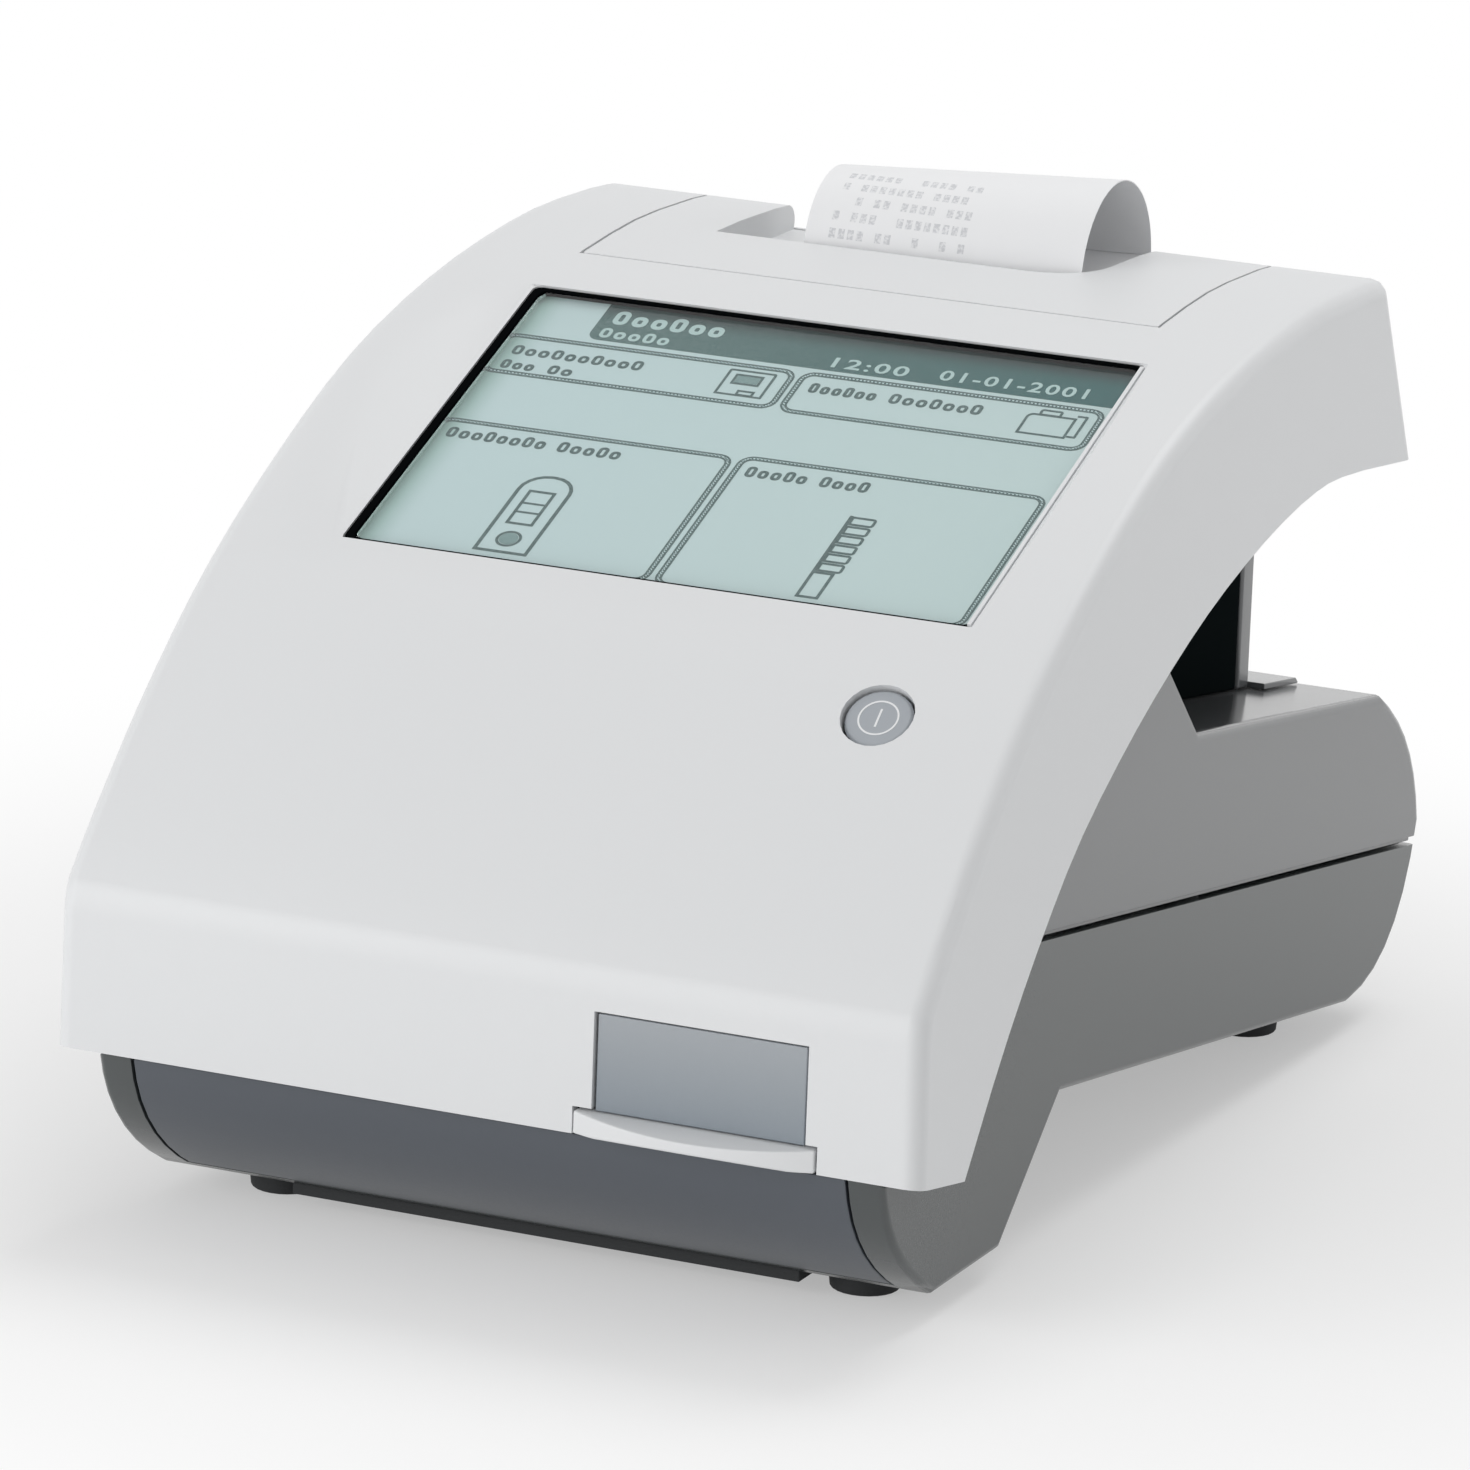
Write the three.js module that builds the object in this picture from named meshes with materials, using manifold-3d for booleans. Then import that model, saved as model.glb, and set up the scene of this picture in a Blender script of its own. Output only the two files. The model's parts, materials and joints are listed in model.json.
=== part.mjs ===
import * as THREE from 'three';
import { mergeVertices } from 'three/addons/utils/BufferGeometryUtils.js';
import Module from 'manifold-3d';

const wasm = await Module();
wasm.setup();

// Bench analyzer for test strips, in millimetres. X is to the user's right, Y runs from the front to the
// rear and Z is up from the table. The dimensions are taken from the face of the top cover, at Y = 0, and
// from a level standRise above the table. The finished group is moved so that its feet stand at Z = 0 and
// its origin is under the middle of the whole analyzer.

// Clearances
const seatGap = 0.3;        // between pieces that touch
const slideGap = 0.4;       // between pieces that slide past each other
const seamGap = 0.6;        // visible seam between mouldings
const overrun = 5;          // how far a cutting body runs past what it cuts

// Top cover
const coverWidth = 171;
const coverDepth = 220;
const coverHeight = 156;
const coverWall = 2.5;
const coverFillet = 3.4;
const coverDraftAngle = 0.92;          // degrees, each side
const coverEdgeHeight = 31.5;          // lower edge of the front face
const coverFaceTop = 57;               // where the front face turns into the arch
const coverHeelDepth = 20.3;           // rear end of the lower edge
const coverHeelHeight = 27.9;
const coverHeelRadius = 3.6;           // rounded corner at the top of the rear wall, about the lid's axis
const coverRearLowDepth = 238.6;       // foot of the sloping rear wall
const coverRearLowHeight = 115.3;
const coverSkirt = 10;                 // solid left below the lower edge before it is trimmed
const archStartDepth = 1.5;
const archKnotShares = [[0.007, 0.407], [0.052, 0.481], [0.136, 0.599], [0.237, 0.714], [0.365, 0.821],
  [0.505, 0.91], [0.66, 0.965], [0.83, 0.993], [0.965, 0.9915]];
const underKnotShares = [[0.0925, 0.179], [0.165, 0.302], [0.24, 0.409], [0.317, 0.5], [0.413, 0.58],
  [0.511, 0.645], [0.614, 0.699], [0.727, 0.741], [0.833, 0.765], [0.92, 0.765], [1.0845, 0.739]];

// Display
const screenFootDepth = 61;            // lower end of the chord that the screen lies along
const screenFootHeight = 117.3;
const screenTilt = 22.2;               // degrees
const screenOpenLeft = 60.6;           // opening, left and right of the middle
const screenOpenRight = 65.1;
const screenOpenLength = 87.4;
const screenCornerRadius = 1.6;
const screenSideSlope = 2.4;           // run of the soft left wall for each unit of its height
const screenRightSlope = 0.8;          // the same for the steeper right wall
const screenRimWidth = 4.2;
const screenRimLeft = 13.5;
const screenRimDepth = 4;
const gasketTop = 0.7;                 // below the chord
const gasketDepth = 1.7;
const gasketWide = 1.6;                // left and upper sides
const gasketNarrow = 0.9;              // right and lower sides
const glassTop = 1.0;
const glassDepth = 1.4;
const lcdDepth = 5.4;
const displayFrameDepth = 2.2;
const displayFrameMargin = 7;
const displayFrameBar = 11;
const displayBoardDepth = 1.6;
const displayBoardInset = 9;
const displayStandoff = 2.6;
const displayScrewRadius = 1.3;
const displayScrewHeadRadius = 2.6;

// Power button
const buttonX = 56;
const buttonDepth = 42.4;
const buttonHeight = 103.6;
const buttonTilt = 39.5;               // degrees
const buttonHoleRadius = 6.9;
const buttonRadius = 6.4;
const buttonSunk = 0.5;
const buttonFlangeRadius = 8.2;
const buttonFlange = 1.5;
const buttonCollarRadius = 9.4;
const buttonCollarDepth = 7;
const buttonTravel = 1.5;
const buttonStemRadius = 2.2;
const buttonStem = 1.2;
const domeRadius = 4.6;
const domeTopRadius = 2.6;
const domeHeight = 3.2;
const buttonBoardWidth = 26;
const buttonBoardLength = 18;
const buttonBoardDepth = 1.6;
const buttonPostRadius = 1.9;
const buttonPostSpan = 21;

// Drawer window and the notch below it
const windowLeft = 22.1;
const windowRight = 63.5;
const windowLow = 36.3;
const windowHigh = 54.6;
const notchLeft = 18.4;
const notchRight = 65.8;

// Printer cover
const lidHalfWidth = 59.5;
const lidFrontDepth = 161.2;
const lidThickness = 2.4;
const lidWallTop = 149;                // top of the rear wall below the lid
const lidHingeDepth = 218.6;
const lidHingeHeight = 150.6;
const lidPinRadius = 1.4;
const lidPinLength = 3;
const lidEarWidth = 4.4;
const pocketLeft = 42;
const pocketRight = 35.5;
const pocketFrontDepth = 184.5;
const pocketFloorHeight = 148.9;
const pocketWall = 2.2;
const pocketCornerRadius = 12;
const slitFrontDepth = 185.4;
const slitWidth = 4.6;
const slitMargin = 1.6;
const lidTabRadius = 9;
const lidTabDepth = 0.7;

// Paper
const paperThickness = 0.25;
const paperLeft = 24.5;
const paperRight = 32.5;
const paperFootLow = 147.1;
const paperCurlHeight = 151.5;         // axis of the curl
const paperFootLeft = 186.6;
const paperFootRight = 188.9;
const paperCurlLeft = 15.5;            // radius at each edge
const paperCurlRight = 18.1;
const paperCurlEnd = 3;                // degrees past the horizontal
const rollRadius = 13.5;
const rollDepth = 211.5;
const platenHeight = 139;
const rollDrop = 10;                   // axis of the roll below the platen's
const rollHeight = platenHeight - rollDrop;
const coreRadius = 6.2;
const coreWall = 1.1;
const webDepth = 187.6;
const webRise = 7.3;                   // end of the web above the platen's axis
const webTop = platenHeight + webRise;
const webKnotShares = [[0, 0], [0.36, -0.145], [0.76, -0.075], [1, 0.17], [1, 0.55], [1, 1]];

// Printer
const platenRadius = 4.4;
const platenMarginLeft = 2;            // rubber past the paper
const platenMarginRight = 1;
const platenShaftReach = 1;
const platenShaftRadius = 1.4;
const printerPlate = 1.6;
const printerSideLeft = 34;
const printerSideRight = 36;
const printerFrameFront = 170;
const printerFrameRear = 195.5;
const printerSideRise = 6.6;           // side plates above the platen's axis
const printerSideTop = platenHeight + printerSideRise;
const printerBossRadius = 3;
const feedModule = 0.7;
const feedPlatenTeeth = 18;
const feedMotorTeeth = 10;
const feedGearWidth = 3;
const feedMotorRadius = 6;
const feedMotorLength = 12;
const feedMotorDrop = 8.1;             // motor axis below the platen axis
const headThickness = 1.7;
const headReachLow = 6;                // print head below and above the platen's axis
const headReachHigh = 5.6;
const headLow = platenHeight - headReachLow;
const headHigh = platenHeight + headReachHigh;
const headRib = 3;
const leverThickness = 2.2;
const leverPivotDepth = 190.5;
const leverPivotDrop = 12;
const leverPivotHeight = platenHeight - leverPivotDrop;
const leverReach = 22;
const leverWidth = 4.4;
const leverTab = 5;
const bayWall = 1.6;
const bayRim = 3;

// Upper chassis pan and the column
const panDrop = 20.5;                  // pan below the platen's axis
const panLow = platenHeight - panDrop;
const panThickness = 2.5;
const panFront = 132;
const panRimHeight = 6;
const coverRearLowLip = 5.6;           // cover wall, clearance and rim together
const columnHalfWidth = 57;
const columnFront = 150;
const columnRear = 218.6;
const columnWall = 2.5;
const columnCoverHalfWidth = 57.4;
const columnCoverDepth = 5.9;
const columnCoverWall = 1.5;
const columnCoverFront = columnRear + seatGap;
const columnCoverRear = columnCoverFront + columnCoverDepth;
const deckPlateHalfWidth = 60.6;
const deckPlateThickness = 1.2;
const deckPlateSetback = 2;            // from the rear edge of the deck

// Base
const baseWidth = 155.4;
const baseWall = 2.5;
const baseFillet = 1.4;
const baseFrontGap = 0.8;              // behind the cover's front wall
const bellyTopDepth = 2.2;
const bellyTopHeight = 30.7;
const bellyEndDepth = 27.6;
const soleHeight = 3.6;
const soleEndDepth = 57.6;
const archFootDepth = 84.2;            // top of the rise behind the front sole
const archFootHeight = 26.3;
const baseDepth = 271.6;
const heelSetback = 35.6;              // in front of the rearmost point
const heelDepth = baseDepth - heelSetback;
const heelHeight = 4.6;
const baseRearHeight = 34;             // height of the rearmost point
const deckRearSetback = 25.7;
const deckRearDepth = baseDepth - deckRearSetback;
const deckRearHeight = 65.1;
const deckFrontDepth = 146.1;
const deckFrontHeight = 80.1;
const gussetDepth = 118.4;             // top of the steep rise in front of the deck
const gussetHeight = 107.2;
const hoodFrontDepth = 72;
const hoodFrontHeight = 97.5;
const hoodLowDepth = 9.5;
const hoodLowHeight = 64;
const bellyBulgeShares = [0.13, 0.41];
const heelBulgeShares = [0.79, 0.03];
const rearBulgeShares = [0.86, 0.63];
const seamRearHeight = 28.8;           // where the seam meets the rearmost point
const seamRise = 8.3;                  // degrees, rising to the front
const seamReveal = 1.1;
const fasciaHalfWidth = 70.3;
const fasciaEndDepth = 25;
const fasciaLowHeight = 4.4;
const drawerCutLeft = 15.6;
const drawerCutRight = 66;
const drawerCutTop = 61;

// Feet and screws
const footRadius = 6.4;
const footTopRadius = 7;
const standRise = 2;                   // the feet reach this far below the level of the dimensions
const footX = 58.5;
const frontFootDepth = 41.4;
const rearFootSetback = 42.6;
const rearFootDepth = baseDepth - rearFootSetback;
const skidFront = 29;                  // dark strip across the sole, between the front feet
const skidDepth = 14;
const skidLow = 0.9;
const screwX = 70.4;
const frontScrewDepth = 48;
const rearScrewDepth = 158;
const screwBossRadius = 4.2;
const screwPostRadius = 3.4;
const screwHoleRadius = 1.8;
const screwRadius = 1.4;
const screwHeadRadius = 3;
const screwHead = 2;
const screwSunk = 1.4;
const frontPostHeight = 62;
const rearPostHeight = 49;
const screwBite = 6;

// Test table
const tableX = 42.5;
const tableWidth = 37;
const tableFront = 4.3;
const tableRear = 150;
const tableLow = 32;
const tableFloor = 2;
const tableWall = 1.8;
const tableHigh = 39.2;
const tableTravel = 100;
const runnerOut = 1.3;
const runnerLow = 37;
const runnerHigh = 38.4;
const lipLow = 31.7;
const lipHigh = 35.9;
const lipBow = 4.2;
const lipEndOut = 0.4;
const lipUndercut = 3;
const lipCrest = 34.3;
const lipRear = 7;
const panelThickness = 3.3;
const panelSunk = 0.6;
const panelGap = 0.5;
const panelTop = 54.1;
const insertRear = 122;
const insertHigh = 38.5;
const stripChannelWidth = 5.8;
const stripChannelLength = 98;
const stripChannelDepth = 1.7;
const stripChannelX = 36.5;
const cardChannelWidth = 12.5;
const cardChannelX = 50;
const calibrationFront = 126;
const calibrationLength = 13;
const calibrationInset = 4;
const calibrationHigh = 37.4;
const railThickness = 1.8;
const railFront = 8;
const railRear = 112;
const railLow = 35.8;
const railHigh = 40.1;
const railLegX = 13;
const railLegWidth = 2;
const railBridgeFront = 27;
const railBridgeRear = 57;

// Table drive
const driveModule = 0.8;
const driveTeeth = 20;
const pinionDepth = 42;
const gearHeight = 3.4;
const rackBack = 23.7;
const rackTip = notchLeft + slideGap;   // level with the left end of the lip
const rackFront = 36;
const toothShare = 0.4;                // tooth thickness at the pitch line, as a share of the pitch
const tipShare = 0.22;
const addendumShare = 1;
const dedendumShare = 1.3;
const motorRadius = 10;
const motorHeight = 14;
const motorShaftRadius = 1.5;
const motorFlange = 1.2;
const motorFlangeReach = 15;
const motorFlangeHalf = 4;

// Chassis plate
const plateLow = 29.5;
const plateThickness = 1.8;
const plateFront = 33;
const plateRear = 164;
const plateLeft = 70;
const plateRight = 73;
const plateWindowLeft = 60;
const plateWindowRight = 4;
const plateWindowFront = 70;
const plateWindowRear = 150;

// Read head
const headBoxLeft = 23;
const headBoxRight = 62;
const headBoxFront = 66;
const headBoxRear = 111;
const headBoxLow = 43;
const headBoxHigh = 70;
const headBoxWall = 2;
const headLegLeft = 9.4;
const headLegRight = 69.4;
const headLeg = 2.2;
const lensMargin = 8;
const ledBoardHeight = 58;
const opticBoard = 1.4;
const opticBoardInset = 3.4;
const ledRadius = 1.5;
const ledLength = 3;
const ledCount = 6;

// Electronics and power
const boardHalfWidth = 70;
const boardLength = 79;
const boardRearSetback = 25.6;
const boardRear = baseDepth - boardRearSetback;
const boardFront = boardRear - boardLength;
const boardLow = 40;
const boardThickness = 1.6;
const boardPostRadius = 2.8;
const boardPostInset = 4;
const chipHeight = 2.2;
const chipShares = [[-0.62, 0.5, 0.2, 0.24], [-0.2, 0.45, 0.16, 0.2], [0.3, 0.5, 0.24, 0.3], [0.74, 0.4, 0.1, 0.22]];
const trayHalfWidth = 58;
const trayHalfLength = 27.5;
const trayWall = 1.5;
const trayRise = 2.7;
const trayHeight = 18.4;
const traySetback = 72.6;
const trayCentreDepth = baseDepth - traySetback;
const cellRadius = 7.1;
const cellLength = 49.5;
const cellTipRadius = 2.6;
const cellTip = 1.1;
const cellWeld = 0.2;
const cellRows = 3;
const cellColumns = 2;
const batteryCoverHalfWidth = 56;
const batteryCoverHalfLength = 25.5;
const batteryCoverThickness = 2.2;
const batteryGripCount = 5;
const batteryGripPitch = 2.4;
const batteryGrip = 0.6;
const batteryGripHalf = 9;
const portHalfWidth = 38;
const portLow = 37;
const portHigh = 52;
const portFaceSetback = 14.6;
const portFaceDepth = baseDepth - portFaceSetback;
const portWall = 2;
const portPanelThickness = 2;
const inletX = -26;
const inletHalf = 5.4;
const inletHigh = 50.6;
const inletBoreRadius = 3.2;
const inletPinRadius = 1.05;
const inletDepth = 9;
const serialX = -1;
const serialHalfTop = 8.6;
const serialHalfLow = 7.6;
const serialHalfHeight = 4.2;
const serialHeight = 46.4;
const serialShell = 0.7;
const serialReach = 5.6;
const serialFlangeHalf = 15;
const serialFlangeHigh = 6;
const serialPinRadius = 0.5;
const serialPinPitch = 2.77;
const serialRowPitch = 2.84;
const cardX = 26.5;
const cardHalf = 9.6;
const cardSlotHalf = 7.8;
const cardSlotHeight = 1.8;
const cardBodyHeight = 5;
const connectorReach = 11;

// Roundness
const archSteps = 26;
const curveSteps = 7;
const heelSteps = 4;
const cornerSteps = 3;
const fineFacets = 24;
const roundFacets = 18;
const smallFacets = 12;
const cellFacets = 16;

const turn = THREE.MathUtils.degToRad;
const sides = { left: -1, right: 1 };
const coverHalf = coverWidth / 2;
const baseHalf = baseWidth / 2;

// Solids from three.js geometry

function solid(geometry, matrix) {
  const plain = geometry.clone();
  plain.deleteAttribute('normal');
  plain.deleteAttribute('uv');
  if (matrix) plain.applyMatrix4(matrix);
  const merged = mergeVertices(plain);
  const vertProperties = Float32Array.from(merged.attributes.position.array);
  const triVerts = Uint32Array.from(merged.index.array);
  return new wasm.Manifold(new wasm.Mesh({ numProp: 3, vertProperties, triVerts }));
}

function join(...bodies) {
  return bodies.reduce((all, body) => all.add(body));
}

function cut(body, ...tools) {
  return tools.reduce((left, tool) => left.subtract(tool), body);
}

function surface(body) {
  const mesh = body.getMesh();
  const geometry = new THREE.BufferGeometry();
  geometry.setAttribute('position', new THREE.BufferAttribute(mesh.vertProperties, 3));
  geometry.setIndex(new THREE.BufferAttribute(mesh.triVerts, 1));
  const flat = geometry.toNonIndexed();
  flat.computeVertexNormals();
  return flat;
}

function block(x0, x1, y0, y1, z0, z1, matrix) {
  const geometry = new THREE.BoxGeometry(x1 - x0, y1 - y0, z1 - z0);
  geometry.translate((x0 + x1) / 2, (y0 + y1) / 2, (z0 + z1) / 2);
  return solid(geometry, matrix);
}

function inOrder(a, b) {
  return a < b ? [a, b] : [b, a];
}

function toShape(outline) {
  return new THREE.Shape(outline.map(([a, b]) => new THREE.Vector2(a, b)));
}

// An outline in Y and Z, drawn out along X
function slabX(outline, x0, x1, fillet, steps) {
  const round = fillet || 0;
  const geometry = new THREE.ExtrudeGeometry(toShape(outline), {
    depth: x1 - x0 - 2 * round, bevelEnabled: round > 0, bevelThickness: round, bevelSize: round,
    bevelOffset: -round, bevelSegments: steps || 3, curveSegments: smallFacets,
  });
  geometry.translate(0, 0, x0 + round);
  geometry.applyMatrix4(new THREE.Matrix4().set(0, 0, 1, 0, 1, 0, 0, 0, 0, 1, 0, 0, 0, 0, 0, 1));
  return geometry;
}

// An outline in X and Y, drawn out along Z
function slabZ(shape, z0, z1) {
  const geometry = new THREE.ExtrudeGeometry(shape, {
    depth: z1 - z0, bevelEnabled: false, curveSegments: cornerSteps,
  });
  geometry.translate(0, 0, z0);
  return geometry;
}

// An outline in X and Z, drawn out along Y
function slabY(shape, y0, y1) {
  const geometry = slabZ(shape, 0, y1 - y0);
  geometry.rotateX(Math.PI / 2);
  geometry.translate(0, y1, 0);
  return geometry;
}

function rodX(x0, x1, y, z, radius, facets) {
  const geometry = new THREE.CylinderGeometry(radius, radius, x1 - x0, facets || roundFacets);
  geometry.rotateZ(Math.PI / 2);
  geometry.translate((x0 + x1) / 2, y, z);
  return solid(geometry);
}

function rodY(x, y0, y1, z, radius, facets) {
  const geometry = new THREE.CylinderGeometry(radius, radius, y1 - y0, facets || smallFacets);
  geometry.translate(x, (y0 + y1) / 2, z);
  return solid(geometry);
}

function rodZ(x, y, z0, z1, radius, facets, matrix, lowRadius) {
  const low = lowRadius || radius;
  const geometry = new THREE.CylinderGeometry(radius, low, z1 - z0, facets || smallFacets);
  geometry.rotateX(Math.PI / 2);
  geometry.translate(x, y, (z0 + z1) / 2);
  return solid(geometry, matrix);
}

function roundedShape(x0, x1, y0, y1, radius) {
  const shape = new THREE.Shape();
  shape.moveTo(x0 + radius, y0);
  shape.lineTo(x1 - radius, y0);
  shape.absarc(x1 - radius, y0 + radius, radius, -Math.PI / 2, 0);
  shape.lineTo(x1, y1 - radius);
  shape.absarc(x1 - radius, y1 - radius, radius, 0, Math.PI / 2);
  shape.lineTo(x0 + radius, y1);
  shape.absarc(x0 + radius, y1 - radius, radius, Math.PI / 2, Math.PI);
  shape.lineTo(x0, y0 + radius);
  shape.absarc(x0 + radius, y0 + radius, radius, Math.PI, 1.5 * Math.PI);
  return shape;
}

function roundedBlock(x0, x1, y0, y1, z0, z1, radius, matrix) {
  return solid(slabZ(roundedShape(x0, x1, y0, y1, radius), z0, z1), matrix);
}

function spline(knots, steps) {
  const curve = new THREE.SplineCurve(knots.map(([a, b]) => new THREE.Vector2(a, b)));
  return curve.getPoints(steps).map((p) => [p.x, p.y]);
}

function bend(start, middle, end, steps) {
  const curve = new THREE.QuadraticBezierCurve(
    new THREE.Vector2(...start), new THREE.Vector2(...middle), new THREE.Vector2(...end));
  return curve.getPoints(steps).map((p) => [p.x, p.y]);
}

// The outline moved inwards by a wall, its points listed anticlockwise
function inset(outline, wall) {
  return outline.map((point, i) => {
    const before = outline[(i + outline.length - 1) % outline.length];
    const after = outline[(i + 1) % outline.length];
    const a = new THREE.Vector2(point[0] - before[0], point[1] - before[1]).normalize();
    const b = new THREE.Vector2(after[0] - point[0], after[1] - point[1]).normalize();
    const normal = new THREE.Vector2(-a.y - b.y, a.x + b.x).normalize();
    const reach = wall / Math.max(normal.x * -a.y + normal.y * a.x, 0.3);
    return [point[0] + normal.x * reach, point[1] + normal.y * reach];
  });
}

// Tilted frames of the screen, the button and the battery bay

function tiltedFrame(x, y, z, degrees) {
  const frame = new THREE.Matrix4().makeTranslation(x, y, z);
  return frame.multiply(new THREE.Matrix4().makeRotationX(turn(degrees)));
}

const screenFrame = tiltedFrame(0, screenFootDepth, screenFootHeight, screenTilt);
const buttonFrame = tiltedFrame(buttonX, buttonDepth, buttonHeight, buttonTilt);
const soleFall = (archFootHeight - heelHeight) / (heelDepth - archFootDepth);
const soleTilt = THREE.MathUtils.radToDeg(Math.atan(soleFall));
const soleAt = (y) => archFootHeight - soleFall * (y - archFootDepth);
const trayFrame = tiltedFrame(0, trayCentreDepth, soleAt(trayCentreDepth), -soleTilt);

// Finishes

const finishes = {
  whiteShell: { color: 0xdee0e1, roughness: 0.5, metalness: 0 },
  darkShell: { color: 0x5d6168, roughness: 0.55, metalness: 0 },
  greyShell: { color: 0x8c9091, roughness: 0.55, metalness: 0 },
  lowerShell: { color: 0x707676, roughness: 0.55, metalness: 0 },
  panelGrey: { color: 0x9ba0a8, roughness: 0.45, metalness: 0 },
  buttonGrey: { color: 0xacb0b6, roughness: 0.5, metalness: 0 },
  blackPlastic: { color: 0x1b1d1f, roughness: 0.6, metalness: 0 },
  blackRubber: { color: 0x3c3f43, roughness: 0.85, metalness: 0 },
  silicone: { color: 0xd8d5cc, roughness: 0.7, metalness: 0 },
  screen: { color: 0xbacfce, roughness: 0.25, metalness: 0 },
  glass: { color: 0xc9dcdb, roughness: 0.12, metalness: 0 },
  steel: { color: 0xb4b6b8, roughness: 0.35, metalness: 0.9 },
  motorSteel: { color: 0x9a9c9e, roughness: 0.4, metalness: 0.85 },
  board: { color: 0x1f6b45, roughness: 0.5, metalness: 0.05 },
  gear: { color: 0xe6e2d6, roughness: 0.5, metalness: 0 },
  insert: { color: 0xd9dbdc, roughness: 0.45, metalness: 0 },
  paper: { color: 0xf2f2f4, roughness: 0.85, metalness: 0 },
  card: { color: 0xb59a72, roughness: 0.9, metalness: 0 },
  leverBlue: { color: 0x4f6f8f, roughness: 0.5, metalness: 0 },
  cell: { color: 0x8a8d90, roughness: 0.35, metalness: 0.4 },
};

const analyzer = new THREE.Group();

function add(name, body, finish, group) {
  const mesh = new THREE.Mesh(surface(body), new THREE.MeshStandardMaterial(finishes[finish]));
  mesh.name = name;
  (group || analyzer).add(mesh);
}

function framedGroup(matrix) {
  const group = new THREE.Group();
  matrix.decompose(group.position, group.quaternion, group.scale);
  analyzer.add(group);
  return group;
}

// Side outlines

function scaled(shares, width, height) {
  return shares.map(([a, b]) => [a * width, b * height]);
}

function coverOutline() {
  const low = coverHeelHeight - coverSkirt;
  const arch = spline(scaled(archKnotShares, coverDepth, coverHeight), archSteps);
  const turnIn = bend([0, coverFaceTop], [0, (coverFaceTop + arch[0][1]) / 2], arch[0], 3).slice(0, -1);
  const wallTurn = Math.atan2(coverRearLowDepth - lidHingeDepth - coverHeelRadius,
    lidHingeHeight - coverRearLowHeight);
  const heel = [];
  for (let i = 0; i <= heelSteps; i += 1) {
    const angle = Math.PI / 2 - (Math.PI / 2 - wallTurn) * i / heelSteps;
    heel.push([lidHingeDepth + coverHeelRadius * Math.cos(angle),
      lidHingeHeight + coverHeelRadius * Math.sin(angle)]);
  }
  const profile = [...turnIn, ...arch, ...heel, [coverRearLowDepth, coverRearLowHeight],
    [coverRearLowDepth, low], [0, low]];
  return profile.reverse();
}

function draw(geometry) {
  const slope = Math.tan(turn(coverDraftAngle));
  const position = geometry.attributes.position;
  for (let i = 0; i < position.count; i += 1) {
    const lean = slope * (position.getZ(i) - coverEdgeHeight) / coverHalf;
    position.setX(i, position.getX(i) * (1 - lean));
  }
  return geometry;
}

const coverSide = coverOutline();
const coverOuter = solid(draw(slabX(coverSide, -coverHalf, coverHalf, coverFillet)));

function insideCover(depth, gap) {
  const half = coverHalf - depth - gap;
  return solid(draw(slabX(inset(coverSide, depth + gap), -half, half)));
}

const coverInner = insideCover(coverWall, 0);

function underCutter() {
  const edge = spline(scaled(underKnotShares, coverDepth, coverHeight), archSteps);
  const far = coverRearLowDepth + coverSkirt;
  const outline = [[-overrun - lipBow, coverEdgeHeight], [0, coverEdgeHeight], ...edge,
    [far, coverRearLowHeight], [far, -overrun], [-overrun - lipBow, -overrun]];
  return solid(slabX(outline.reverse(), -coverHalf - overrun, coverHalf + overrun));
}

function deckHeight(y) {
  const fall = (deckFrontHeight - deckRearHeight) / (deckRearDepth - deckFrontDepth);
  return deckFrontHeight - fall * (y - deckFrontDepth);
}

// Top cover

function screenCutter() {
  const left = -screenOpenLeft;
  const length = screenOpenLength;
  const rise = archStartDepth + screenRimWidth;
  const through = roundedBlock(left, screenOpenRight, 0, length, -screenRimDepth - overrun, overrun,
    screenCornerRadius, screenFrame);
  const slope = new THREE.Shape();
  slope.moveTo(left, -gasketTop);
  slope.lineTo(screenOpenRight, -gasketTop);
  slope.lineTo(screenOpenRight + screenRightSlope * (rise + gasketTop), rise);
  slope.lineTo(left - screenSideSlope * (rise + gasketTop), rise);
  const soft = solid(slabY(slope, 0, length), screenFrame);
  return join(through, soft);
}

function screenRim() {
  const rim = block(-screenOpenLeft - screenRimLeft, screenOpenRight + screenRimWidth, -screenRimWidth,
    screenOpenLength + screenRimWidth, -screenRimDepth, overrun + screenRimWidth, screenFrame);
  return rim.intersect(coverOuter);
}

function buttonSeat() {
  const collar = rodZ(0, 0, -buttonCollarDepth, overrun, buttonCollarRadius, fineFacets, buttonFrame);
  const posts = Object.values(sides).map((side) => rodZ(side * buttonPostSpan / 2, 0, -buttonBoardFace, overrun,
    buttonPostRadius, smallFacets, buttonFrame));
  return join(collar, ...posts).intersect(coverOuter);
}

const buttonBoardFace = buttonCollarDepth + seatGap + buttonFlange + buttonStem + buttonTravel + seatGap + domeHeight;

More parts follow.
